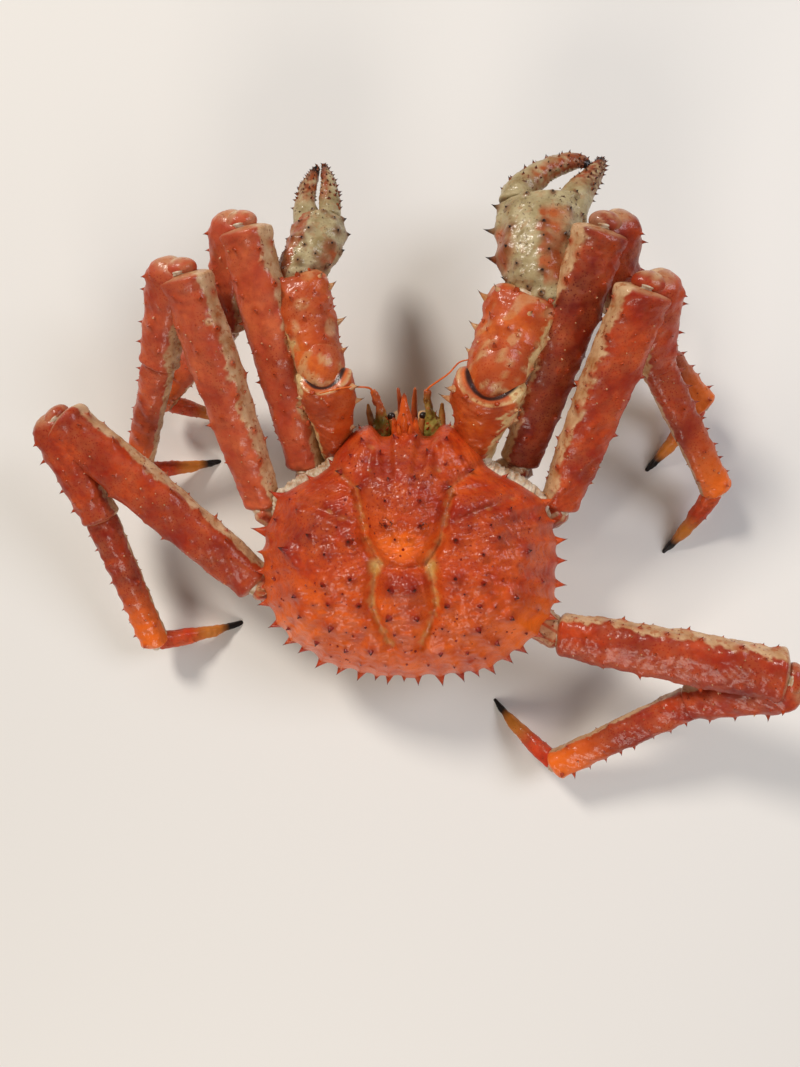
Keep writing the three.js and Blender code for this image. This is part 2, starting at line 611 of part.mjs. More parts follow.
for (const [side, joints] of Object.entries(armJoints)) {
  const factor = armScale[side];
  const [root, shoulder, elbow, wrist] = joints.map(point);
  const up = new THREE.Vector3(0, 0, 1);

  const addLength = (name, from, to, extra, sections, shape, thorns) => {
    const axes = limbAxes(from, to, up);
    const length = from.distanceTo(to) + extra;
    const body = (grow) => placed(limbPiece(length, sections, shape, grow), axes);
    const spines = spinesOn(thorns, axes, length, sections, side === "left" ? 1 : -1);
    addNode(`claw_${side}_${name}`, body, spines, axes, limbLook);
  };
  addLength("base", root, shoulder, 6, scaled([[0, 12, 12], [1, 13, 13]], factor ** 0.5),
    baseShape, []);
  addLength("merus", shoulder, elbow, 5, scaled(upperArmSections, factor), armShape,
    upperArmSpines);
  addLength("carpus", elbow, wrist, 7, scaled(foreArmSections, factor), armShape,
    foreArmSpines);

  // The palm's axes: X forward along the palm, Y toward the other claw, Z up.
  const palm = palms[side];
  const pitch = (palm.pitch * Math.PI) / 180;
  const along = new THREE.Vector3(0, -Math.cos(pitch), Math.sin(pitch));
  const inward = new THREE.Vector3(1, 0, 0);
  const palmUp = along.clone().cross(inward);
  const palmAxes = new THREE.Matrix4().makeBasis(along, inward, palmUp)
    .setPosition(point(palm.origin));
  const spread = ([x, y, z, size]) => [x, y * palm.inward, z, size];
  const first = palm.sections[0][0];
  const reach = palm.sections[palm.sections.length - 1][0] - first;
  const palmSections = palm.sections.map(([x, middle, wide, deep]) =>
    [(x - first) / reach, wide, deep, middle * palm.inward]);
  const palmShape = { sides: 14, rings: 11, start: 8, end: 9 };
  const hand = (grow) => {
    const block = limbPiece(reach, palmSections, palmShape, grow).translate([first, 0, 0]);
    return placed(block.add(hornPiece(palm.fixed.map(spread), 8, 8, grow)), palmAxes);
  };
  const finger = (grow) => placed(hornPiece(palm.moving.map(spread), 9, 10, grow), palmAxes);
  const facing = (list) => list.map(([t, degrees, size]) =>
    [t, palm.inward > 0 ? degrees : 180 - degrees, size]);
  const handThorns = spinesOn(facing(palmSpines), palmAxes, reach, palmSections, 1, first)
    .concat(spinesAlong(facing(fixedSpines), palm.fixed.map(spread), palmAxes));
  const fingerThorns = spinesAlong(facing(movingSpines), palm.moving.map(spread), palmAxes);
  addNode(`claw_${side}_palm`, hand, handThorns, palmAxes, clawLook);
  addNode(`claw_${side}_finger`, finger, fingerThorns, palmAxes, clawLook);
}

for (const [name, side] of [["left", 1], ["right", -1]]) {
  const at = (x, y, z) => new THREE.Matrix4().makeTranslation(side * x, y, z);

  const eye = (grow) => {
    const ball = new THREE.SphereGeometry(3.6 + grow, 9, 6);
    ball.translate(side * 8.8, -79, 70.5);
    return hornPiece([[side * 6, -60, 66, 3.2], [side * 7.5, -70, 68, 2.8],
      [side * 8.5, -77, 70, 2.6]], 6, 4, grow).add(toSolid(ball));
  };
  addNode(`eye_${name}`, eye, [], at(8.8, -79, 70.5), eyeLook);

  const lean = side > 0 ? 1 : 0;
  const whipPoints = side > 0
    ? [[19.5, -89, 76, 1.4], [21, -92, 79, 1.2], [31, -91.5, 88, 0.9], [44, -88, 96, 0.7]]
    : [[-11.7, -89, 76, 1.4], [-13, -92, 79, 1.2], [-24, -98, 87, 0.9], [-30, -103, 92, 0.8],
      [-36, -104, 96, 0.7]];
  const antenna = (grow) => wasm.Manifold.union([
    hornPiece([[side * 15, -58, 62, 6], [side * 15, -70, 66, 6],
      [side * (13 + lean * 2), -79, 71, 2.8], [side * (12 + lean * 6), -88, 75, 2.1],
      [side * (11.7 + lean * 8), -91.5, 77, 1.8]], 7, 8, grow),
    hornPiece([[side * 19, -70, 65, 3], [side * (20 + lean * 2), -78, 67, 2],
      [side * (20 + lean * 3), -85, 70, 0.8]], 5, 4, grow),
    hornPiece(whipPoints, 5, 9, grow),
  ]);
  addNode(`antenna_${name}`, antenna, [], at(15, -70, 66), feelerLook);

  const small = (grow) => hornPiece([[side * 3, -60, 60, 3], [side * 3.4, -72, 62, 2.6],
    [side * 4, -84, 68, 1.8], [side * 5, -93, 76, 0.8]], 6, 6, grow);
  addNode(`antennule_${name}`, small, [], at(3, -72, 62), feelerLook);

  const jaw = (grow) => hornPiece([[side * 9, -50, 40, 6], [side * 9, -64, 44, 6.5],
    [side * 8, -75, 48, 5.4], [side * 7.6, -81, 42, 4], [side * 6, -79, 33, 2.6]], 7, 8, grow);
  addNode(`maxilliped_${name}`, jaw, [], at(9, -64, 44), paleLook);
}

// The origin goes to the middle of the footprint, on the floor.
group.updateMatrixWorld(true);
const bounds = new THREE.Box3().setFromObject(group, true);
const middle = bounds.getCenter(new THREE.Vector3());
for (const piece of group.children) {
  piece.position.x -= middle.x;
  piece.position.y -= middle.y;
  piece.position.z -= bounds.min.z;
}

export default group;
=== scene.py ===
import math

import bpy
import numpy as np
from mathutils import Matrix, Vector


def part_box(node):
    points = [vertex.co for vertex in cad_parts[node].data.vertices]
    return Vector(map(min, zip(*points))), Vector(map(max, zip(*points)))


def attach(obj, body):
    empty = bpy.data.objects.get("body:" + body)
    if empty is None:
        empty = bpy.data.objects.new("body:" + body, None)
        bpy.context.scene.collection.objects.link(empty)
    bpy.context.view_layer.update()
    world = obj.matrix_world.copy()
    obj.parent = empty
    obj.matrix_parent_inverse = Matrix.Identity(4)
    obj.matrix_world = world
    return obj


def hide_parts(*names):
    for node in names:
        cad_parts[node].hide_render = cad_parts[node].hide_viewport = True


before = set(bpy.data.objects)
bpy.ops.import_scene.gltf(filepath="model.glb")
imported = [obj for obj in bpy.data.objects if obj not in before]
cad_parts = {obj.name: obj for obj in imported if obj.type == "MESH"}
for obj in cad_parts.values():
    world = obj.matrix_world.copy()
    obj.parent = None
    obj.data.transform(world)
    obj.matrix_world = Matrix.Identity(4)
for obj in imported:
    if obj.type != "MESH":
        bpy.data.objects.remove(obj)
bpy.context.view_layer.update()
print("frame loaded")

# The crab is drawn in millimetres about the middle of its shell: head along -Y, its left +X,
# floor at z = 0. The trunk's node says where that middle is in the frame.
trunkLow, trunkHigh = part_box("thorax")
shellMiddle = np.array([(trunkLow.x + trunkHigh.x) * 500, (trunkLow.y + trunkHigh.y) * 500 - 2.5, 0.0])


# A value at t from a table of rows [t, value, ...], eased between the rows.
def between(table, t):
    rows = np.array(table, float)
    t = np.asarray(t, float)
    k = np.clip(np.searchsorted(rows[:, 0], t), 1, len(rows) - 1)
    low, high = rows[k - 1], rows[k]
    share = np.clip((t - low[..., 0]) / (high[..., 0] - low[..., 0]), 0, 1)
    eased = share * share * (3 - 2 * share)
    return low + (high - low) * eased[..., None]


# A smooth S from 0 at low to 1 at high: share^2 * (3 - 2 share). Low may be the larger.
def ease(low, high, value):
    share = np.clip((value - low) / (high - low), 0, 1)
    return share * share * (3 - 2 * share)


# Vectors divided by their length.
def unit(vectors):
    return vectors / np.maximum(np.linalg.norm(vectors, axis=-1, keepdims=True), 1e-9)


# Nine sine waves in fixed directions, added: a smooth wobble of about -1 to 1 with that period in mm.
def wobble(spots, period, seed):
    rng = np.random.default_rng(seed)
    ways = unit(rng.normal(size=(9, 3))) * (2 * math.pi / (period * rng.uniform(0.7, 1.6, (9, 1))))
    return np.sin(spots @ ways.T + rng.uniform(0, 6.28, 9)).sum(-1) / 3.2


# 1 at the middle of each grain of a jittered lattice, falling to 0 between the grains.
def grains(spots, size, seed):
    cell = np.floor(spots / size)
    nearest = np.full(spots.shape[:-1], 9.0)
    for dx in (-1, 0, 1):
        for dy in (-1, 0, 1):
            for dz in (-1, 0, 1):
                corner = cell + (dx, dy, dz)
                mixed = np.stack([
                    np.sin(corner @ np.array(way) + seed) * 43758.5453
                    for way in ((12.9898, 78.233, 37.719), (39.346, 11.135, 83.155), (73.156, 52.235, 9.151))
                ], -1)
                offset = corner + 0.1 + 0.8 * (mixed - np.floor(mixed)) - spots / size
                nearest = np.minimum(nearest, (offset ** 2).sum(-1))
    return np.clip(1 - 1.5 * np.sqrt(nearest), 0, 1)


# A closed skin from rows of points; the first and last rows shrink to one point each.
def skinPart(spots, marks):
    rows, cols = spots.shape[:2]
    flat = lambda field: np.concatenate([
        field[:1].mean(1), field[1:-1].reshape((rows - 2) * cols, *field.shape[2:]), field[-1:].mean(1)])
    here = np.arange((rows - 3) * cols).reshape(rows - 3, cols) + 1
    side = np.roll(here, -1, 1)
    quads = np.stack([here, side, side + cols, here + cols], -1).reshape(-1, 4)
    first = np.arange(cols) + 1
    last = first + (rows - 3) * cols
    end = (rows - 2) * cols + 1
    tris = np.concatenate([
        np.stack([np.zeros(cols, int), np.roll(first, -1), first], -1),
        np.stack([np.full(cols, end), last, np.roll(last, -1)], -1)])
    return faceOut({"spots": flat(spots), "quads": quads, "tris": tris,
                    "marks": {key: flat(value) for key, value in marks.items()}})


# Turns every face of a closed part outwards, from the sign of its volume.
def faceOut(part):
    spots = part["spots"] - part["spots"].mean(0)
    corners = np.concatenate([part["tris"], part["quads"][:, :3], part["quads"][:, [0, 2, 3]]])
    a, b, c = (spots[corners[:, k]] for k in range(3))
    if np.einsum("ij,ij->i", a, np.cross(b, c)).sum() < 0:
        part["quads"] = part["quads"][:, ::-1]
        part["tris"] = part["tris"][:, ::-1]
    return part


# Many spines in one part: each is a flared cone on a closed foot, bent toward its lean.
# Its radius at height h is radius * (0.85 * (1 - h)^flare + 0.15 * (1 - h)); its foot is sunk.
def spinePart(feet, ways, radii, heights, leans, pale=0.0, sides=8, flare=1.5):
    feet, ways, leans = (np.asarray(value, float).reshape(-1, 3) for value in (feet, ways, leans))
    radii, heights = np.asarray(radii, float), np.asarray(heights, float)
    count = len(feet)
    ways = unit(ways)
    across = unit(np.cross(ways, np.where(np.abs(ways[:, 2:]) > 0.9, [[1.0, 0, 0]], [[0, 0, 1.0]])))
    over = np.cross(ways, across)
    levels = np.array([0.0, 0.16, 0.34, 0.54, 0.74, 0.9])
    turn = np.arange(sides) * 2 * math.pi / sides
    ring = (across[:, None, None] * np.cos(turn)[:, None] + over[:, None, None] * np.sin(turn)[:, None])
    wide = (1 - levels) ** flare * 0.85 + (1 - levels) * 0.15
    sunk = radii * 0.45
    tall = (heights + sunk)[:, None] * levels - sunk[:, None]
    bent = leans[:, None] * (levels ** 2)[:, None] * heights[:, None, None]
    spots = (feet[:, None] + ways[:, None] * tall[..., None] + bent)[:, :, None] \
        + ring * (radii[:, None] * wide)[..., None, None]
    tips = feet + ways * heights[:, None] + leans * heights[:, None]
    bottoms = feet - ways * sunk[:, None]
    each = len(levels) * sides + 2
    everything = np.concatenate([spots.reshape(count, -1, 3), tips[:, None], bottoms[:, None]], 1)
    start = (np.arange(count) * each)[:, None, None]
    here = np.arange((len(levels) - 1) * sides).reshape(-1, sides)
    side = np.arange(sides)
    quad = np.stack([here, (here // sides) * sides + np.roll(side, -1), 0 * here, here + sides], -1)
    quad[..., 2] = quad[..., 1] + sides
    quads = (quad.reshape(1, -1, 4) + start).reshape(-1, 4)
    top = (len(levels) - 1) * sides + side
    tri = np.concatenate([
        np.stack([top, (len(levels) - 1) * sides + np.roll(side, -1), np.full(sides, each - 2)], -1),
        np.stack([np.roll(side, -1), side, np.full(sides, each - 1)], -1)])
    tris = (tri[None] + start).reshape(-1, 3)
    tip = np.concatenate([np.repeat(levels, sides), [1.0, 0.0]])
    paleness = np.broadcast_to(np.asarray(pale, float).reshape(-1, 1), (count, each)).reshape(-1)
    return faceOut({"spots": everything.reshape(-1, 3), "quads": quads, "tris": tris, "marks": {
        "tip": np.tile(tip, count), "mound": np.ones(count * each), "pale": paleness}})


# One piece from closed parts in mm: a mesh in metres whose marks are point attributes, in place of the
# solids named.
def buildPiece(name, parts, finish, nodes=()):
    offset, spots, quads, tris = 0, [], [], []
    names = sorted({key for part in parts for key in part["marks"]})
    marks = {key: [] for key in names}
    for part in parts:
        spots.append(part["spots"])
        quads.append(part["quads"] + offset)
        tris.append(part["tris"] + offset)
        offset += len(part["spots"])
        for key in names:
            marks[key].append(part["marks"].get(key, np.zeros(len(part["spots"]))))
    spots, quads, tris = np.concatenate(spots), np.concatenate(quads), np.concatenate(tris)
    mesh = bpy.data.meshes.new(name)
    mesh.vertices.add(len(spots))
    mesh.vertices.foreach_set("co", ((spots + shellMiddle) * 0.001).astype(np.float32).ravel())
    mesh.loops.add(quads.size + tris.size)
    mesh.loops.foreach_set("vertex_index", np.concatenate([quads.ravel(), tris.ravel()]).astype(np.int32))
    mesh.polygons.add(len(quads) + len(tris))
    starts = np.concatenate([np.arange(len(quads)) * 4, quads.size + np.arange(len(tris)) * 3])
    mesh.polygons.foreach_set("loop_start", starts.astype(np.int32))
    mesh.update(calc_edges=True)
    mesh.shade_smooth()
    for key in names:
        layer = mesh.attributes.new(key, "FLOAT", "POINT")
        layer.data.foreach_set("value", np.concatenate(marks[key]).astype(np.float32))
    mesh.materials.append(finish)
    piece = bpy.data.objects.new(name, mesh)
    bpy.context.scene.collection.objects.link(piece)
    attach(piece, "root")
    if nodes:
        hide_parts(*nodes)


# An sRGB hex colour as linear red, green, blue and alpha.
def linear(code):
    parts = [int(code[k:k + 2], 16) / 255 for k in (1, 3, 5)]
    return [v / 12.92 if v <= 0.04045 else ((v + 0.055) / 1.055) ** 2.4 for v in parts] + [1.0]


# Adds a node with its settings, its inputs linked or set, and the stops of its colour ramp.
def addNode(tree, kind, settings=None, inputs=None, stops=()):
    node = tree.nodes.new("ShaderNode" + kind)
    for key, value in (settings or {}).items():
        setattr(node, key, value)
    for key, value in (inputs or {}).items():
        if isinstance(value, bpy.types.NodeSocket):
            tree.links.new(value, node.inputs[key])
        else:
            node.inputs[key].default_value = value
    if stops:
        elements = node.color_ramp.elements
        while len(elements) < len(stops):
            elements.new(0.5)
        for element, (place, colour) in zip(elements, stops):
            element.position = place
            element.color = linear(colour) if isinstance(colour, str) else (colour, colour, colour, 1)
    return node

# A material with an empty node tree, and the places on a piece in mm, so that every Scale is one over
# a period in mm.
def startFinish(name):
    material = bpy.data.materials.new(name)
    material.use_nodes = True
    tree = material.node_tree
    tree.nodes.clear()
    place = addNode(tree, "TexCoord").outputs["Object"]
    spot = addNode(tree, "Mapping", inputs={"Vector": place, "Scale": (1000, 1000, 1000)}).outputs["Vector"]
    return material, tree, spot

# Boiled crab shell: hard, chalky chitin with a thin wax on it. The eye gets a mottled orange-red
# skin of fine grains, dull in the grooves and glossy where the wax lies.
def shellFinish(name, look):
    material, tree, spot = startFinish(name)
    marks = {key: addNode(tree, "Attribute", {"attribute_name": key}).outputs["Fac"]
             for key in ("pale", "tip", "mound", "warm", "deep")}
    # clouds: period in mm, detail, roughness, and the stops that they are cut to
    clouds = {
        "red": (look["blotch"], 3, 0.55, look["skin"]),
        "mottle": (look["mottle"], 4, 0.55, [(0.42, 0.0), (0.62, 1.0)]),
        "dotField": (14, 3, 0.55, [(0.35, 0.0), (0.65, 1.0)]),
        "cream": (9, 4, 0.55, look["cream"]),
        "blot": (4.2, 2, 0.55, [(0.57, 0.0), (0.66, 1.0)]),
        "freckle": (1.8, 2, 0.55, [(0.6, 0.0), (0.68, 1.0)]),
        "freckleField": (11, 3, 0.55, [(0.42, 0.0), (0.6, 1.0)]),
        "speck": (1.3, 2, 0.55, [(0.64, 0.0), (0.7, 1.0)]),
        "speckField": (17, 2, 0.55, [(0.5, 0.0), (0.66, 1.0)]),
        "gloss": (5, 4, 0.55, ()),
        "pores": (0.9, 3, 0.6, ()),
        "ripple": (1.9, 2, 0.5, ()),
    }
    for key, (period, detail, rough, stops) in clouds.items():
        cloud = addNode(tree, "TexNoise", inputs={
            "Vector": spot, "Scale": 1 / period, "Detail": detail, "Roughness": rough}).outputs["Fac"]
        if stops:
            cloud = addNode(tree, "ValToRGB", inputs={"Fac": cloud}, stops=stops).outputs["Color"]
        clouds[key] = cloud
    # the grains' light middles, the mounds under the thorns and the dark tips
    grain = addNode(tree, "TexVoronoi", {"feature": "F1"}, {"Vector": spot, "Scale": 1 / look["grain"]})
    cuts = {
        "dots": (grain.outputs["Distance"], 0.3, 0.08),
        "mound": (marks["mound"], 0.2, 0.9),
        "tip": (marks["tip"], look["tipFrom"], look["tipFull"]),
    }
    for key, (source, low, high) in cuts.items():
        cut = addNode(tree, "ValToRGB", inputs={"Fac": source}, stops=[(low, 0.0), (high, 1.0)])
        cuts[key] = cut.outputs["Color"]

    # one more colour over what is there, as much as the product of its shares
    def cover(under, shares, colour):
        share = shares[0]
        for other in shares[1:]:
            share = addNode(tree, "Math", {"operation": "MULTIPLY"}, {0: share, 1: other}).outputs[0]
        colour = linear(colour) if isinstance(colour, str) else colour
        return addNode(tree, "Mix", {"data_type": "RGBA"}, {0: share, 6: under, 7: colour}).outputs[2]

    skin = clouds["red"]
    for shares, colour in (
            ([clouds["mottle"], 0.5], look["mottled"]),
            ([marks["deep"], 0.75], look["deep"]),
            ([marks["warm"], 0.9], look["warm"]),
            ([cuts["dots"], clouds["dotField"], look["dotting"]], look["dot"])):
        skin = cover(skin, shares, colour)
    # the pale parts: cream with ochre clouds and brown freckles
    cream = cover(clouds["cream"], [clouds["blot"], look["blotting"]], look["blot"])
    cream = cover(cream, [clouds["freckle"], clouds["freckleField"], look["freckling"]], look["freckle"])
    for shares, colour in (
            ([marks["pale"]], cream),
            ([cuts["mound"], look["mounding"]], look["mound"]),
            ([clouds["speck"], clouds["speckField"], look["specking"]], look["speck"]),
            ([cuts["tip"]], look["tip"])):
        skin = cover(skin, shares, colour)
    rough = addNode(tree, "MapRange", inputs={
        "Value": clouds["gloss"], "From Min": 0.3, "From Max": 0.7, "To Min": look["gloss"],
        "To Max": look["dull"]})
    lift = addNode(tree, "Math", {"operation": "MULTIPLY"}, {0: cuts["dots"], 1: 0.25}).outputs[0]
    height = addNode(tree, "Math", {"operation": "ADD"}, {0: lift, 1: clouds["pores"]}).outputs[0]
    bump = addNode(tree, "Bump", inputs={
        "Strength": look["relief"], "Distance": 0.0004, "Height": height}).outputs["Normal"]
    # the wax lies in ripples of its own, so that it sparkles in small points
    ripple = addNode(tree, "Bump", inputs={
        "Strength": look["ripple"], "Distance": 0.0006, "Height": clouds["ripple"]}).outputs["Normal"]
    shader = addNode(tree, "BsdfPrincipled", inputs={
        "Base Color": skin, "Roughness": rough.outputs["Result"], "Normal": bump, "IOR": 1.53,
        "Specular IOR Level": look["sheen"], "Coat Weight": look["wax"], "Coat Roughness": 0.14,
        "Coat IOR": 1.4, "Coat Normal": ripple})
    addNode(tree, "OutputMaterial", inputs={"Surface": shader.outputs["BSDF"]})
    return material

shellLook = {
    "skin": [(0.32, "#94200a"), (0.48, "#b4320c"), (0.64, "#cc4a10")],
    "blotch": 24, "mottle": 4.5, "mottled": "#9c2810", "warm": "#ee6a0c", "deep": "#86200f",
    "grain": 1.5, "dot": "#e8702a", "dotting": 0.34,
    "cream": [(0.35, "#bd7a2c"), (0.6, "#d2a662")], "freckle": "#9a4a20", "freckling": 0.35,
    "mound": "#84160a", "mounding": 0.85, "speck": "#4a1208", "specking": 0.28,
    "tip": "#2c0c08", "tipFrom": 0.5, "tipFull": 0.85, "blot": "#a85a26", "blotting": 0.0,
    "gloss": 0.34, "dull": 0.6, "relief": 0.6, "wax": 0.55, "sheen": 0.2, "ripple": 0.9,
}
limbLook = {
    **shellLook,
    "skin": [(0.3, "#7e1a08"), (0.5, "#9c280c"), (0.68, "#bc4012")],
    "mottled": "#8a2410", "dotting": 0.2, "dot": "#e08850",
    "cream": [(0.32, "#b07c4e"), (0.62, "#d0aa80")], "freckle": "#7a3714", "freckling": 0.95,
    "blotting": 0.7,
    "mound": "#a83a0c", "mounding": 0.7, "specking": 0.5, "warm": "#fb7410",
    "tip": "#32140c", "tipFrom": 0.55, "tipFull": 0.9, "relief": 0.5, "wax": 0.42, "gloss": 0.3,
    "ripple": 0.5,
}
armLook = {
    **limbLook,
    "skin": [(0.3, "#94300e"), (0.5, "#b84512"), (0.68, "#d26220")],
    "mottled": "#a83c16", "cream": [(0.32, "#b88a4e"), (0.62, "#d8bc88")],
}
clawLook = {
    **limbLook,
    "skin": [(0.3, "#7c2e12"), (0.5, "#9c4418"), (0.68, "#b45a24")],
    "mottled": "#8a3c18", "mottle": 3,
    "cream": [(0.32, "#8f7a50"), (0.62, "#b7a67e")], "freckle": "#4a2814", "freckling": 0.95,
    "blotting": 0.25,
    "mound": "#6e3816", "mounding": 0.7, "tip": "#160b08", "tipFrom": 0.3, "tipFull": 0.7,
    "speck": "#20100b", "specking": 0.85, "warm": "#46201c",
}
# painted light and painted shade: legs painted rosier and lighter, as if lit, and one painted darker, as if
# turned away into shade
litLegLook = {
    **limbLook,
    "skin": [(0.3, "#962c16"), (0.5, "#b4462a"), (0.68, "#c85c34")], "mottled": "#a03a24",
}
shadedLegLook = {
    **limbLook,
    "skin": [(0.3, "#641406"), (0.5, "#801f0c"), (0.68, "#a03412")], "mottled": "#701c0c",
}
toeLook = {
    **limbLook,
    "skin": [(0.3, "#a82408"), (0.5, "#c43410"), (0.68, "#da4c14")],
    "warm": "#c87a26", "mounding": 0.3, "tip": "#120a08", "tipFrom": 0.25, "tipFull": 0.85,
}
paleLook = {
    **limbLook,
    "skin": [(0.3, "#bf8a58"), (0.5, "#d4ae7c"), (0.68, "#e2c79a")],
    "mottled": "#c88e5c", "dotting": 0.1, "mound": "#bf6a3a", "specking": 0.15,
}
feelerLook = {
    **limbLook,
    "skin": [(0.3, "#8c3414"), (0.5, "#b04e1a"), (0.68, "#c86c2a")],
    "cream": [(0.35, "#6e6a20"), (0.62, "#aa9c4c")], "freckling": 0.3, "blotch": 9,
}
shellRed = shellFinish("boiled_shell_red", shellLook)
limbRed = shellFinish("boiled_limb_red", limbLook)
# the leg finish with painted light (rosier, lighter) and with painted shade (darker)
limbPaintedLit = shellFinish("boiled_leg_painted_lit", litLegLook)
limbPaintedShade = shellFinish("boiled_leg_painted_shade", shadedLegLook)
armOrange = shellFinish("boiled_arm_orange", armLook)
clawCream = shellFinish("boiled_claw_cream", clawLook)
toeHorn = shellFinish("boiled_toe_horn", toeLook)
bellyPale = shellFinish("boiled_belly_pale", paleLook)
feelerHorn = shellFinish("boiled_feeler_horn", feelerLook)


# Joint skin: boiled arthrodial membrane, soft, white and slightly moist, wrinkled round the joint.
def makeJointSkin():
    material, tree, spot = startFinish("boiled_joint_skin")
    cloud = addNode(tree, "TexNoise", inputs={"Vector": spot, "Scale": 1 / 4, "Detail": 4}).outputs["Fac"]
    tint = addNode(tree, "ValToRGB", inputs={"Fac": cloud},
                   stops=[(0.35, "#a87f58"), (0.62, "#d3c4ac")]).outputs["Color"]
    bump = addNode(tree, "Bump", inputs={"Strength": 0.5, "Distance": 0.0005,
                                         "Height": cloud}).outputs["Normal"]
    shader = addNode(tree, "BsdfPrincipled", inputs={
        "Base Color": tint, "Roughness": 0.42, "Normal": bump, "IOR": 1.4,
        "Subsurface Weight": 0.1, "Subsurface Scale": 0.003})
    addNode(tree, "OutputMaterial", inputs={"Surface": shader.outputs["BSDF"]})
    return material


# Eye: a black faceted cornea under a wet, glassy surface.
def makeEyeBlack():
    material, tree, spot = startFinish("wet_eye_black")
    # facets are about 0.1 mm, drawn at 0.35 mm so that they show
    facet = addNode(tree, "TexVoronoi", inputs={"Vector": spot, "Scale": 1 / 0.35}).outputs["Distance"]
    tint = addNode(tree, "ValToRGB", inputs={"Fac": facet},
                   stops=[(0.1, "#120906"), (0.7, "#2c1a12")]).outputs["Color"]
    bump = addNode(tree, "Bump", inputs={"Strength": 0.2, "Distance": 0.0001,
                                         "Height": facet}).outputs["Normal"]
    shader = addNode(tree, "BsdfPrincipled", inputs={
        "Base Color": tint, "Roughness": 0.3, "Normal": bump, "IOR": 1.45, "Coat Weight": 0.2})
    addNode(tree, "OutputMaterial", inputs={"Surface": shader.outputs["BSDF"]})
    return material


jointSkin = makeJointSkin()
eyeBlack = makeEyeBlack()
print("finishes ready")


shellShape = {
    "columns": 400, "domeRows": 138, "wallRows": 12,
    "rimHeight": 66, "rimSlope": -0.12, "domeRise": 37, "wallDepth": 18,
    # the wall under the edge: share of the way down, mm inward, mm below the edge
    "wall": [[0, 0, 0], [0.25, 1.2, 4], [0.6, 5, 10], [1, 12, 18]],
    "outline": [
        [0, -72], [27, -71], [35.5, -63], [43, -54], [44, -49], [55, -42], [67, -38], [78, -30],
        [86, -11], [88, 6], [87, 20], [86, 32], [80, 45], [72, 55], [63, 60], [55, 67], [49, 70],
        [32, 74], [16, 76.6], [0, 76],
    ],
    # swellings: x, y, spread along x, spread along y, height
    "swellings": [
        [48, 16, 22, 30, 6], [0, -30, 15, 20, 6], [0, 26, 9, 16, 5], [42, -30, 14, 12, 3],
        [24, -58, 8, 10, 2], [60, 40, 20, 14, 1.5],
    ],
    # furrows: x, y to x, y, depth, spread
    "furrows": [
        [26, -34, 20, -6, 5.5, 3.2], [20, -6, 12, 7, 6.5, 3.4], [12, 8, 0, 9.5, 2.6, 2.2],
        [15, 8, 18, 30, 5.2, 3.4], [18, 30, 8, 54, 4, 3.2], [26, -34, 38, -45, 3.6, 3],
        [28, -16, 60, -29, 2.6, 3], [15, 8, 15.5, 9, 3.5, 3.5], [17, -66, 19, -44, 3, 3],
        [52, -34, 30, -33, 2, 3], [7, 56, 5, 72, 1.6, 2.6],
    ],
    # top spines of one half: x, y, size class
    "topSpines": [
        [6.2, 21.5, 3], [7.6, 36.5, 3], [4.9, 46, 2], [8.6, -14.5, 3], [8.8, -27, 2], [6.5, -38, 2],
        [22.6, -34.8, 3], [14, -53.5, 2], [28, -5, 4], [28, 14.5, 3], [24.6, 30, 3], [21.3, 41.5, 2],
        [19.4, 57, 3], [50.5, -7.5, 3], [42.5, 1.5, 2], [42.8, 17.5, 3], [40.8, 29, 2], [41, 43.3, 3],
        [50.3, 52, 3], [34, 57.5, 2], [47, -14, 2], [66, 0.6, 4], [61, 7.5, 1], [60.2, 25, 3],
        [58.4, 37, 3], [34.8, -44.5, 3], [74, -17, 2], [76, 17, 1], [22.5, -60, 2], [30, -52, 1],
        [33, 23, 1], [50, 30, 1], [33, 46, 1], [68, 46, 2], [12, 66, 1], [27, 66, 1], [44, 62, 1],
        [36, -13, 1], [58, -22, 2], [66, -28, 1], [5.5, -62, 2], [15, -41, 1], [4, -7, 1], [73, 33, 1],
    ],
    # radius and height of each size class
    "sizes": {1: (1.5, 1.6), 2: (2.2, 3.2), 3: (3.0, 5.2), 4: (3.5, 6.6)},
    # brighter and darker places of one half: x, y, spread along x, spread along y, how much
    "warmPlaces": [[0, -4, 13, 9, 1], [68, 48, 12, 11, 0.7]],
    "deepPlaces": [[48, -12, 24, 16, 1], [14, -42, 9, 20, 0.6], [0, -42, 13, 20, 0.8], [0, 26, 9, 14, 0.5]],
    # where black specks gather: x, y, spread, how much
    "speckPlaces": [
        [8.8, -15, 4.8, 1.5], [-11, -14, 5.5, 1.0], [27, -8, 5, 1.0], [50, -26, 10, 0.5], [36, -17, 8, 0.5],
    ],
    # rim spines: angle from the front and length, left side of the crab, then the right side
    "rimLeft": [
        [21, 3], [31, 2.5], [41, 4], [53.6, 4], [67.4, 7], [82.7, 8], [91, 3], [98.4, 5],
        [104.5, 3.5], [110.6, 6], [119.5, 6], [127.6, 6], [133.4, 5], [142, 6], [150.2, 5],
        [158.7, 6], [165.7, 3.5], [171.1, 5.5], [178, 4],
    ],
    "rimRight": [
        [19.2, 3], [29, 2.5], [38.4, 3.5], [53.3, 4], [71.1, 7], [79, 3], [86.4, 6], [94, 5],
        [102.8, 6], [109, 4], [115.2, 6], [123, 5], [131.2, 6], [137.5, 5.5], [145.2, 6],
        [151, 4.5], [157.2, 6], [165.9, 6.5], [175.9, 6],
    ],
}


# Height of the shell's edge, which falls toward the tail.
def rimAt(y):
    return shellShape["rimHeight"] + shellShape["rimSlope"] * y


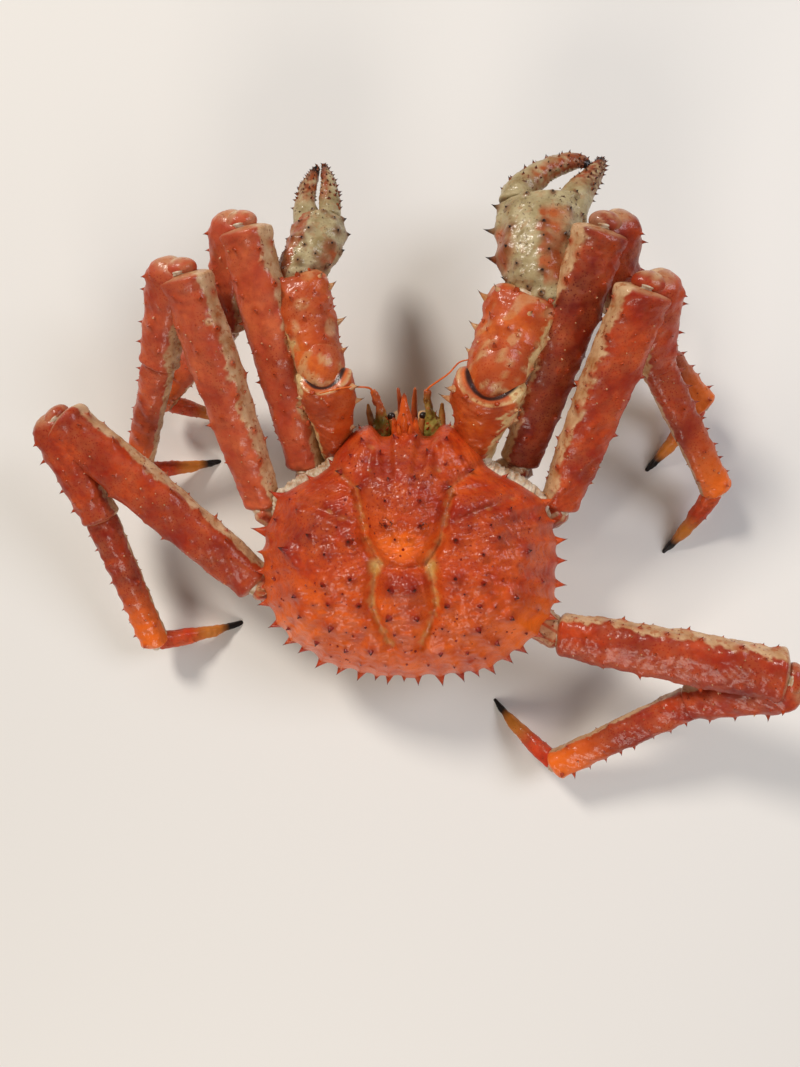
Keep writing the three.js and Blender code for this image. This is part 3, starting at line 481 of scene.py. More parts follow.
# Distance from the middle to the outline in a direction. The corners are rounded by averaging
# over 5 degrees, the gaps between rim spines are scooped, and two notches leave room for the eyes.
def shellReach(angle):
    corners = np.array(shellShape["outline"], float)
    turns = np.arctan2(corners[:, 0], -corners[:, 1])
    sizes = np.hypot(corners[:, 0], corners[:, 1])
    offsets = np.radians(np.linspace(-2.5, 2.5, 7))
    folded = np.abs((angle[..., None] + offsets + math.pi) % (2 * math.pi) - math.pi)
    reach = np.interp(folded, turns, sizes).mean(-1)
    degrees = np.degrees(angle)
    for key, side in (("rimLeft", 1), ("rimRight", -1)):
        marks = np.array(shellShape[key])[:, 0]
        here = degrees * side
        k = np.clip(np.searchsorted(marks, here), 1, len(marks) - 1)
        share = np.clip((here - marks[k - 1]) / (marks[k] - marks[k - 1]), 0, 1)
        width = np.radians(marks[k] - marks[k - 1]) * reach
        scoop = np.where((here > marks[0]) & (here < marks[-1]), np.sin(math.pi * share) ** 0.8, 0)
        depth = np.clip(0.22 * width, 0, 3.0) * ease(35, 80, here)
        reach = reach - scoop * depth
    notch = np.exp(-((np.abs(degrees) - 10.3) / 4.3) ** 4)
    return reach - 7.5 * notch


# Added at both halves: much * exp(-((|x| - cx) / sx)^2 - ((y - cy) / sy)^2) for each place.
def gathered(x, y, places):
    return sum(much * np.exp(-(((np.abs(x) - cx) / sx) ** 2 + ((y - cy) / sy) ** 2))
               for cx, cy, sx, sy, much in places)

# Swellings are Gaussian hills and furrows Gaussian grooves along lines, of which the deepest counts.
# Gives the rise, the furrow's depth and how much of a furrow there is, from 0 to 1.
def shellFields(x, y):
    rise, groove = np.zeros_like(x), np.zeros_like(x)
    for cx, cy, sx, sy, high in shellShape["swellings"]:
        for side in ((1, -1) if cx else (1,)):
            rise += high * np.exp(-((x - side * cx) / sx) ** 2 - ((y - cy) / sy) ** 2)
    deepest = np.zeros_like(x)
    for x0, y0, x1, y1, deep, spread in shellShape["furrows"]:
        px, py = np.abs(x), y
        size = (x1 - x0) ** 2 + (y1 - y0) ** 2
        share = np.clip(((px - x0) * (x1 - x0) + (py - y0) * (y1 - y0)) / size, 0, 1)
        off = np.hypot(px - x0 - share * (x1 - x0), py - y0 - share * (y1 - y0))
        pit = np.exp(-(off / spread) ** 2)
        deepest = np.maximum(deepest, deep * pit)
        groove = np.maximum(groove, pit * min(1.0, deep / 4.5))
    return rise, deepest, groove


# The shell's top: edge + rise * (1 - share^2.6)^0.75, where share is the way out to the edge, with the
# swellings and furrows faded out at the edge.
def domeHeight(x, y):
    share = np.clip(np.hypot(x, y) / shellReach(np.arctan2(x, -y)), 0, 1)
    fall = (1 - share ** 2.6) ** 0.75
    rise, deepest, groove = shellFields(x, y)
    return rimAt(y) + shellShape["domeRise"] * fall + (rise - deepest) * np.clip(2.2 * fall, 0, 1)


# The top spines of both halves, each moved, widened and lengthened a little at random.
def shellTopSpines():
    rng = np.random.default_rng(11)
    half = np.array(shellShape["topSpines"], float)
    x = np.concatenate([half[:, 0], -half[:, 0]]) + rng.uniform(-0.7, 0.7, 2 * len(half))
    y = np.tile(half[:, 1], 2) + rng.uniform(-0.8, 0.8, 2 * len(half))
    kinds = np.tile(half[:, 2], 2)
    radius = np.array([shellShape["sizes"][int(k)][0] for k in kinds]) * rng.uniform(0.85, 1.12, len(x))
    height = np.array([shellShape["sizes"][int(k)][1] for k in kinds]) * rng.uniform(0.8, 1.15, len(x))
    return x, y, radius, height


# The shell: rings of points from the middle out over the dome, down the wall and in under it.
def makeShell():
    cols, domeRows, wallRows = shellShape["columns"], shellShape["domeRows"], shellShape["wallRows"]
    angle = np.linspace(-math.pi, math.pi, cols, endpoint=False) + 0.001
    reach = shellReach(angle)
    share = (np.arange(domeRows + 1) / domeRows) ** 0.9
    x = share[:, None] * reach * np.sin(angle)
    y = -share[:, None] * reach * np.cos(angle)
    fall = (1 - share[:, None] ** 2.6) ** 0.75 + 0 * x
    rise, deepest, groove = shellFields(x, y)
    z = rimAt(y) + shellShape["domeRise"] * fall + (rise - deepest) * np.clip(2.2 * fall, 0, 1)
    sx, sy, radius, height = shellTopSpines()
    mound = np.zeros_like(x)
    for cx, cy, r in zip(sx, sy, radius):
        spread = np.exp(-(((x - cx) ** 2 + (y - cy) ** 2) / (1.5 * r) ** 2))
        z += 1.0 * r * spread
        mound = np.maximum(mound, 0.6 * spread)
    spots = np.stack([x, y, z], -1)
    grain = grains(spots, 2.1, 3)
    rimFade = ease(1.0, 0.93, share)[:, None]
    uneven = 0.4 * grain + 0.26 * wobble(spots, 3.5, 7) + 0.34 * wobble(spots, 9, 5)
    uneven += 0.6 * wobble(spots, 24, 6)
    z += uneven * rimFade * (1 - 0.5 * groove)
    # the wall runs down and in from the edge, then the underside closes flat over the trunk
    down = np.linspace(0, 1, wallRows + 1)[1:, None]
    wall = between(shellShape["wall"], down[:, 0])
    wallReach = reach - wall[:, 1:2]
    wx, wy = wallReach * np.sin(angle), -wallReach * np.cos(angle)
    wz = rimAt(wy) - wall[:, 2:3] + 0.3 * wobble(np.stack([wx, wy, wx * 0], -1), 7, 8)
    under = np.array([0.7, 0.35, 0.0])[:, None]
    ux, uy = under * wallReach[-1] * np.sin(angle), -under * wallReach[-1] * np.cos(angle)
    uz = rimAt(uy) - shellShape["wallDepth"]
    full = np.concatenate([np.stack(place, -1) for place in ((x, y, z), (wx, wy, wz), (ux, uy, uz))])
    flat = np.concatenate([x, wx, ux])
    back = np.concatenate([y, wy, uy])
    blank = np.zeros((wallRows + 3, cols))
    # the pale pits where the furrows meet behind the stomach region
    pits = 0.9 * np.exp(-(((np.abs(x) - 15.5) / 3.4) ** 2 + ((y - 8.5) / 5.0) ** 2) ** 1.5)
    pale = np.concatenate([
        np.clip(ease(0.45, 1.3, groove + 0.2 * wobble(spots, 6, 21) + 0.12 * wobble(spots, 2.5, 22))
                * (0.42 + 0.3 * ease(8, 30, y)) + pits, 0, 1),
        ease(0.1, 0.9, down) + blank[:wallRows],
        blank[:3] + 1])
    # bright orange at the rear of the stomach region and toward the rear corners
    warm = gathered(flat, back, shellShape["warmPlaces"]) + 0.5 * ease(5, 50, back)
    # darker, rosier red on the front gill regions and the sides of the stomach region
    deep = gathered(flat, back, shellShape["deepPlaces"])
    warm = warm * (1 + 0.4 * wobble(full, 14, 41))
    deep = deep * (1 + 0.5 * wobble(full, 12, 43))
    # black specks gathered round the rear stomach spines and on the front gill regions
    gather = sum(much * np.exp(-((flat - cx) ** 2 + (back - cy) ** 2) / wide ** 2)
                 for cx, cy, wide, much in shellShape["speckPlaces"])
    black = np.clip(gather, 0, 1) * 0.55 + 0.6 * grains(full, 1.3, 9) + 0.1 * wobble(full, 3, 14)
    black = ease(0.62, 0.8, black)
    parts = [skinPart(full, {
        "pale": pale, "mound": np.concatenate([mound, blank]), "warm": np.clip(warm, 0, 1),
        "deep": np.clip(deep, 0, 1), "tip": 0.8 * black * ease(0.05, 0.3, gather)})]
    slopeX = (domeHeight(sx + 2, sy) - domeHeight(sx - 2, sy)) / 4
    slopeY = (domeHeight(sx, sy + 2) - domeHeight(sx, sy - 2)) / 4
    feet = np.stack([sx, sy, domeHeight(sx, sy) + 0.45 * radius], -1)
    ways = np.stack([-slopeX, -slopeY, np.ones_like(sx)], -1)
    leans = np.tile([[0.0, -0.16, 0.0]], (len(sx), 1))
    parts.append(spinePart(feet, ways, radius * 0.95, height, leans, sides=12, flare=1.15))
    rng = np.random.default_rng(4)
    for key, side in (("rimLeft", 1), ("rimRight", -1)):
        degrees, length = np.array(shellShape[key], float).T
        turn = np.radians(degrees) * side
        out = shellReach(turn) - 2.2
        fx, fy = out * np.sin(turn), -out * np.cos(turn)
        feet = np.stack([fx, fy, rimAt(fy) + 0.6], -1)
        ways = np.stack([np.sin(turn), -np.cos(turn), 0.25 + 0 * turn], -1)
        leans = np.stack([0 * turn, -0.12 + 0 * turn, 0.1 + 0 * turn], -1)
        rimThorns = spinePart(feet, ways, 2.0 + 0.3 * length, length + 1.2, leans, sides=12)
        rimThorns["marks"]["mound"] *= 0.25
        rimThorns["marks"]["tip"] *= 0.85
        parts.append(rimThorns)
    # small thorns scattered over the dome between the large ones
    sown = rng.uniform(-1, 1, (520, 2)) * (84, 72)
    inside = np.hypot(sown[:, 0], sown[:, 1]) < 0.93 * shellReach(np.arctan2(sown[:, 0], -sown[:, 1]))
    clear = (np.hypot(sown[:, :1] - sx, sown[:, 1:] - sy) > 3.8).all(1)
    groovy = shellFields(sown[:, 0], sown[:, 1])[2] < 0.3
    sown = sown[inside & clear & groovy]
    tops = domeHeight(sown[:, 0], sown[:, 1])
    feet = np.column_stack([sown, tops])
    small = rng.uniform(0.5, 0.95, len(sown))
    out = np.column_stack([sown * 0.012, np.ones(len(sown))])
    parts.append(spinePart(feet, out, small, small * 0.9, feet * 0, sides=6))
    return parts


# A bent horn through points [x, y, z, half size]; its cross-section is round, its ends closed.
# The points are joined by a Catmull-Rom curve.
def hornRows(points, rows, cols, endShare=0.06):
    table = np.array(points, float)
    padded = np.concatenate([2 * table[:1] - table[1:2], table, 2 * table[-1:] - table[-2:-1]])
    t = np.linspace(0, 1, rows)
    place = t * (len(table) - 1)
    k = np.clip(place.astype(int), 0, len(table) - 2)
    f = (place - k)[:, None]
    a, b, c, d = (padded[k + n] for n in range(4))
    curve = 0.5 * (2 * b + (c - a) * f + (2 * a - 5 * b + 4 * c - d) * f ** 2
                   + (3 * b - a - 3 * c + d) * f ** 3)
    along = unit(np.gradient(curve[:, :3], axis=0))
    side = unit(np.cross([0.0, 0.0, 1.0], along))
    up = np.cross(along, side)
    ends = np.sqrt(np.clip(1 - (1 - np.clip(t / endShare, 0, 1)) ** 2, 0, 1)
                   * np.clip(1 - (1 - np.clip((1 - t) / endShare, 0, 1)) ** 2, 0, 1))
    size = curve[:, 3] * ends
    around = np.linspace(0, 2 * math.pi, cols, endpoint=False)
    spots = curve[:, None, :3] + size[:, None, None] * (
        side[:, None] * np.cos(around)[:, None] + up[:, None] * np.sin(around)[:, None])
    return spots, t[:, None] + 0 * around, around + 0 * t[:, None], along, side, up, curve


# A horn's skin, pushed out by up to about rough mm in wobbles and grains, with its marks.
def hornPart(points, rows, cols, marks, rough=0.0, seed=1, endShare=0.06):
    spots, t, around = hornRows(points, rows, cols, endShare)[:3]
    if rough:
        middle = spots.mean(1, keepdims=True)
        push = rough * (wobble(spots, 4, seed) + 0.8 * grains(spots, 1.6, seed))
        spots = spots + unit(spots - middle) * push[..., None]
    return skinPart(spots, {key: value(t, around, spots) for key, value in marks.items()})

# Points given for the crab's left side, on that side (1) or the other (-1).
def mirrored(points, side):
    return [[side * x, *rest] for x, *rest in points]

beakShape = {
    # points of each thorn: x, y, z, half size; the outer and inner ones come in pairs
    "beak": [[0, -56, 80, 7.5], [0, -68, 84, 5.6], [0, -78, 88, 3], [0, -87, 93, 0.7]],
    "outer": [[4, -60, 80, 3.4], [5.4, -68, 84, 2.2], [6.4, -74, 89, 0.5]],
    "inner": [[2.6, -62, 85, 2.0], [3.0, -66, 89, 1.4], [3.2, -70, 92, 0.4]],
    "crest": [[0, -64, 83, 3.4], [0, -70, 91, 2.1], [0, -75, 97, 0.6]],
}

# The beak between the eyes and the thorns on it.
def beakParts():
    marks = {"tip": lambda t, around, spots: ease(0.7, 1.0, t) * 0.75,
             "mound": lambda t, around, spots: 0.3 * ease(0.3, 0.0, t),
             "warm": lambda t, around, spots: 0.5 * ease(0.2, 0.8, t),
             "pale": lambda t, around, spots: 0 * t}
    parts = [hornPart(beakShape["beak"], 60, 28, marks, rough=0.25)]
    for side in (1, -1):
        parts.append(hornPart(mirrored(beakShape["outer"], side), 36, 18, marks, rough=0.15, seed=2))
        parts.append(hornPart(mirrored(beakShape["inner"], side), 26, 14, marks, seed=4))
    parts.append(hornPart(beakShape["crest"], 36, 18, marks, rough=0.15, seed=3))
    return parts

buildPiece("carapace_shell", makeShell() + beakParts(), shellRed, ["carapace"])
print("shell built")


# Axes with X along a limb piece and Y toward the outer side of its bend, as rows.
def limbAxes(start, end, outward):
    along = unit(end - start)
    side = unit(np.cross(along, outward))
    return np.array([along, np.cross(side, along), side])


# A limb piece: an ellipse carried along X whose half height and half width follow the sections,
# closed at each end by a quarter ellipse; knobs and wrinkles push it out along its normal.
def limbSkin(limb):
    length, rows, cols = limb["length"], limb["rows"], limb["cols"]
    t = (1 - np.cos(math.pi * np.linspace(0, 1, rows))) / 2
    around = np.linspace(0, 2 * math.pi, cols, endpoint=False)
    table = between(limb["sections"], t)
    rise = table[:, 3] if table.shape[1] > 3 else 0 * t
    ends = np.sqrt(np.clip(1 - (1 - np.clip(t * length / limb["startRound"], 0, 1)) ** 2, 0, 1)
                   * np.clip(1 - (1 - np.clip((1 - t) * length / limb["endRound"], 0, 1)) ** 2, 0, 1))
    ribs = 1 - limb.get("ridge", 0.055) * np.cos(4 * around)
    local = np.stack([
        t[:, None] * length + limb.get("first", 0.0) + 0 * around,
        rise[:, None] + (table[:, 1] * ends)[:, None] * np.cos(around) * ribs,
        (table[:, 2] * ends)[:, None] * np.sin(around) * ribs], -1)
    normal = np.stack([0 * local[..., 0], np.cos(around) / table[:, 1:2], np.sin(around) / table[:, 2:3]],
                      -1)
    # the far edge is scooped on top and below, and drawn out to the sides, round the next ball
    local[..., 0] -= limb.get("lobes", 0.0) * ease(0.72, 1.0, t)[:, None] * np.cos(2 * around)
    spots = limb["origin"] + local @ limb["axes"]
    outward = unit(normal @ limb["axes"])
    return spots, outward, t[:, None] + 0 * around, ends[:, None] + 0 * around


# Places on a limb piece from [share of the length, angle]: foot and outward normal.
def onLimb(limb, t, angle):
    table = between(limb["sections"], t)
    rise = table[:, 3] if table.shape[1] > 3 else 0 * t
    ribs = 1 - limb.get("ridge", 0.055) * np.cos(4 * angle)
    local = np.stack([t * limb["length"] + limb.get("first", 0.0), rise + table[:, 1] * np.cos(angle) * ribs,
                      table[:, 2] * np.sin(angle) * ribs], -1)
    normal = np.stack([0 * t, np.cos(angle) / table[:, 1], np.sin(angle) / table[:, 2]], -1)
    return limb["origin"] + local @ limb["axes"], unit(normal @ limb["axes"])


# The pale part of a limb piece lies around one direction: 1 inside the given half angle of it.
def paleAround(limb, outward, spots, t):
    if not limb.get("pale"):
        return 0 * t
    toward, half, wave = limb["pale"]
    flat = np.array(toward, float) - np.dot(toward, limb["axes"][0]) * limb["axes"][0]
    facing = np.degrees(np.arccos(np.clip(outward @ unit(flat), -1, 1)))
    edge = half + wave * (wobble(spots, 16, limb["seed"] + 3) + 0.7 * wobble(spots, 5, limb["seed"] + 4)
                          + 0.35 * wobble(spots, 2.4, limb["seed"] + 5))
    return ease(5, -5, facing - edge)


# Spines are sown in rows and at random, kept apart, and leave the pushed-in underside bare.
def limbSpines(limb):
    rng = np.random.default_rng(limb["seed"])
    picked = []
    sky = limb["axes"] @ np.array([0.0, 0.0, 1.0])
    skyTurn = math.atan2(sky[2], sky[1])
    turn = 1 if sky[2] > 0 else -1
    for share, degrees, radius, height in limb.get("rowSpines", []):
        picked.append([share + rng.uniform(-0.015, 0.015), turn * math.radians(degrees + rng.uniform(-7, 7)),
                       radius * rng.uniform(0.85, 1.15), height * rng.uniform(0.8, 1.2)])
    for tries in range(limb.get("sown", 0) * 6):
        if len(picked) >= limb["sown"] + len(limb.get("rowSpines", [])):
            break
        share, angle = rng.uniform(*limb.get("sownSpan", (0.08, 0.95))), rng.uniform(-math.pi, math.pi)
        if math.cos(angle - skyTurn) < -0.55:
            continue
        size = rng.uniform(*limb.get("sownSize", (0.7, 1.3)))
        table = between(limb["sections"], np.array([share]))[0]
        far = [math.hypot((share - p[0]) * limb["length"],
                          math.remainder(angle - p[1], 2 * math.pi) * (table[1] + table[2]) / 2)
               > (size + p[2]) * 1.5 for p in picked]
        if all(far):
            picked.append([share, angle, size, size * rng.uniform(0.9, 1.5)])
    return np.array(picked)


# A limb piece with its thorns: the skin is pushed out along its normals by wobbles, grains, collars and
# a mound under each thorn; small thorns have pale tips, large ones dark tips.
def limbParts(limb):
    spots, outward, t, ends = limbSkin(limb)
    pale = paleAround(limb, outward, spots, t)
    pale = np.maximum(pale, limb["cuffs"](t) if "cuffs" in limb else 0)
    if "streaks" in limb:
        # pale streaks that run along the piece
        lines = wobble(spots @ limb["axes"].T * [0.25, 1.6, 1.6], 6, limb["seed"] + 9)
        pale = np.maximum(pale, limb["streaks"] * ease(-0.5, 0.5, lines))
    mound = 0 * t
    parts = []
    for share, wide, high in limb.get("collar", []):
        spots = spots + outward * (high * np.exp(-((t - share) / wide) ** 2) * ends)[..., None]
    if "patches" in limb:
        pale = np.maximum(pale, limb["patches"] * ease(0.35, 0.75, wobble(spots, 13, limb["seed"] + 6)))
    push = limb.get("wave", 0.35) * wobble(spots, 12, limb["seed"])
    push = push + 0.16 * wobble(spots, 4, limb["seed"] + 1)
    push = push + limb.get("pebble", 0.14) * grains(spots, 2.0, limb["seed"] + 2)
    thorns = limbSpines(limb)
    if len(thorns):
        feet, normals = onLimb(limb, thorns[:, 0], thorns[:, 1])
        reach = thorns[:, 2] * limb.get("halo", 1.7)
        for foot, radius, wide in zip(feet, thorns[:, 2], reach):
            spread = np.exp(-(((spots - foot) ** 2).sum(-1)) / wide ** 2)
            push = push + 0.55 * radius * spread
            mound = np.maximum(mound, spread * min(1.0, radius / 1.6))
        footPale = paleAround(limb, normals, feet, thorns[:, 0])
        leans = np.tile(limb["axes"][0] * 0.35, (len(feet), 1))
        footPale = np.where(thorns[:, 2] > 2.2, limb.get("bigPale", 0.0) / 0.6, footPale)
        big = thorns[:, 2] > 1.25
        thornPart = spinePart(feet + normals * 0.4 * thorns[:, 2:3], normals, thorns[:, 2], thorns[:, 3],
                              leans,
                              pale=footPale * 0.6)
        each = len(thornPart["spots"]) // len(feet)
        tipShare = np.where(big | (footPale > 0.5) | (np.arange(len(feet)) % 3 == 0), 1.0, 0.25)
        thornPart["marks"]["tip"] = thornPart["marks"]["tip"] * np.repeat(tipShare, each)
        thornPart["marks"]["mound"] = thornPart["marks"]["mound"] * np.repeat(
            np.clip(thorns[:, 2] / 1.6, 0.2, 1), each)
        thornPart["marks"]["pale"] = np.maximum(thornPart["marks"]["pale"] * 0.5, np.repeat(
            np.where(tipShare < 0.5, 1.0, 0.0), each) * ease(0.25, 0.6, thornPart["marks"]["tip"] / 0.25))
        thornPart["marks"]["mound"] *= 1 - 0.8 * thornPart["marks"]["pale"]
        parts.append(thornPart)
    spots = spots + outward * (push * ends)[..., None]
    warm = limb["warm"](t) + 0 * t if "warm" in limb else 0 * t
    tip = limb["tip"](t) + 0 * t if "tip" in limb else 0 * t
    if "rimShadeLine" in limb:
        # painted shade: a dark line inside the far edge, where the next piece meets it, and a light one
        # behind it
        tip = np.maximum(tip, 0.95 * np.exp(-((t - limb["rimShadeLine"]) / 0.009) ** 2))
        pale = np.maximum(pale, 0.75 * np.exp(-((t - limb["rimShadeLine"] + 0.022) / 0.009) ** 2))
    skin = skinPart(spots, {"pale": pale, "mound": mound, "warm": warm, "tip": tip})
    return [skin, *parts, *limb.get("joined", [])]


legJoints = {
    "leg2_left": [[40, -30, 37], [61.6, -48.1, 53], [86, -176.2, 108], [104.8, -133.7, 72],
                  [164.8, -96.4, 26], [118, -87, 0]],
    "leg2_right": [[-40, -30, 37], [-64.5, -49.5, 53], [-105, -169.3, 108], [-119.6, -139.2, 72],
                   [-176.7, -89.6, 26], [-150, -50, 0]],
    "leg3_left": [[48, -5, 36], [87.9, -25.1, 54], [117.8, -150.4, 112], [144.1, -110.9, 78],
                  [179.6, -51, 26], [132.4, -58.8, 0]],
    "leg3_right": [[-48, -5, 36], [-87.1, -24, 54], [-125.9, -136.3, 112], [-139.4, -105.7, 72],
                   [-186.2, -37.4, 26], [-160.7, 3, 0]],
    "leg4_left": [[46, 20, 36], [91.6, 21.7, 54], [201.8, -76.3, 84], [188.1, -20.8, 62],
                  [168.6, 60.5, 25], [117.1, 50.4, 0]],
    "leg4_right": [[-44, 24, 36], [-86.6, 49, 54], [-206.4, 67.3, 86], [-165, 87, 54],
                   [-90.3, 134.6, 24], [-51.9, 99.6, 0]],
}
# the legs with painted light (rosier, lighter) and the one with painted shade (darker)
legFinish = {"leg2_left": limbPaintedLit, "leg3_left": limbPaintedLit, "leg2_right": limbPaintedShade}
legShape = {
    "kneeReach": 8, "kneeOffset": 3, "toeSink": 0.7,
    # half lengths of the knee's knob and of the skin in each joint: along, high, wide
    "kneeKnob": (6, 10.4, 8.4),
    "skins": {"hip": (4.5, 8.8, 7.4), "knee": (3.4, 8.4, 6.6), "bend": (5, 7.6, 6.8),
              "ankle": (4, 5.8, 5.2)},
    "base": [[0, 11, 11], [0.6, 11, 10.5], [1, 10, 9.5]],
    "slimMerus": [[0, 11.5, 9], [0.35, 14, 10.5], [0.7, 15.5, 11], [1, 14, 11]],
    "broadMerus": [[0, 12.5, 9.5], [0.2, 14.5, 11], [0.7, 15.5, 11.5], [1, 14, 11]],
    "carpus": [[0, 10, 10], [0.2, 13, 11.5], [0.55, 11.5, 10.5], [1, 10.5, 9.5]],
    "propodus": [[0, 9.6, 8.4], [0.5, 8.8, 7.4], [1, 8.8, 7.6]],
    "dactylus": [[0, 6.2, 5.2, 0], [0.3, 5.6, 4.6, 1.6], [0.6, 4.1, 3.5, 2], [0.85, 2.3, 2.1, 1],
                 [1, 1.3, 1.2, 0]],
    # share of the length, angle from the outer side toward the sky, radius, height
    "merusSpines": [
        [0.22, 25, 2.2, 3.6], [0.36, 18, 1.9, 3], [0.5, 25, 2.3, 3.8], [0.64, 20, 1.9, 3],
        [0.78, 26, 2.3, 4],
        [0.3, -28, 1.8, 2.8], [0.57, -30, 1.8, 2.8], [0.44, 78, 1.7, 1.7], [0.7, 84, 1.7, 1.7],
        [0.4, 140, 1.9, 2.8], [0.66, 145, 1.9, 2.8], [0.14, 60, 1.5, 1.6], [0.9, 40, 1.8, 3],
        [0.92, -10, 1.7, 2.8], [0.93, 95, 1.6, 2.4], [0.9, 150, 1.6, 2.4], [0.25, 120, 1.5, 2],
        [0.53, 118, 1.5, 1.8], [0.8, 115, 1.6, 2],
    ],
    "carpusSpines": [
        [0.35, 20, 2.3, 4], [0.62, 25, 2, 3.4], [0.5, -30, 1.9, 3], [0.55, 80, 1.7, 2], [0.2, 50, 1.7, 2.6],
        [0.8, 35, 1.8, 3], [0.82, -20, 1.7, 2.8], [0.35, -15, 1.8, 3], [0.75, 120, 1.5, 2.2],
    ],
    "propodusSpines": [
        [0.12, 12, 1.9, 3.4], [0.22, 20, 1.7, 3], [0.34, 6, 1.8, 3.2], [0.45, 22, 1.7, 3], [0.56, 8, 1.7, 3],
        [0.67, 20, 1.6, 2.8], [0.78, 8, 1.6, 2.8], [0.88, 20, 1.7, 3], [0.3, 80, 1.5, 2], [0.62, 85, 1.5, 2],
        [0.5, 160, 1.5, 2], [0.2, -35, 1.5, 2.2], [0.42, -35, 1.5, 2.2], [0.65, -32, 1.4, 2],
        [0.85, -30, 1.4, 2],
        [0.93, 70, 1.5, 2.4], [0.8, 150, 1.4, 2],
    ],
}


# An ellipsoid across a joint, with half lengths along, high and wide and fine rings round it. Its far
# end may be pale, as a share, and so may spots all over it.
def jointSkinPart(centre, along, radii, seed, outward=(0.13, 0.2, 1.0), ringing=0.025, endPale=0.0,
                  spotty=0.0):
    rows, cols = 34, 36
    t = np.linspace(0, math.pi, rows)[:, None]
    around = np.linspace(0, 2 * math.pi, cols, endpoint=False)
    axes = limbAxes(np.zeros(3), np.array(along, float), np.array(outward, float))
    local = np.stack([-radii[0] * np.cos(t) + 0 * around, radii[1] * np.sin(t) * np.cos(around),
                      radii[2] * np.sin(t) * np.sin(around)], -1)
    rings = 1 + ringing * np.sin(local[..., :1] * 3.2 + 0.8 * wobble(local, 7, seed)[..., None])
    local = local * np.concatenate([np.ones_like(rings), rings, rings], -1)
    pale = endPale * ease(0.3, 0.85, -np.cos(t)) * (0.8 + 0.5 * wobble(local, 5, seed + 7))
    pale = pale + spotty * ease(0.15, 0.5, wobble(local, 8, seed + 8))
    return skinPart(np.asarray(centre) + local @ axes, {"pale": np.clip(pale, 0, 1)})

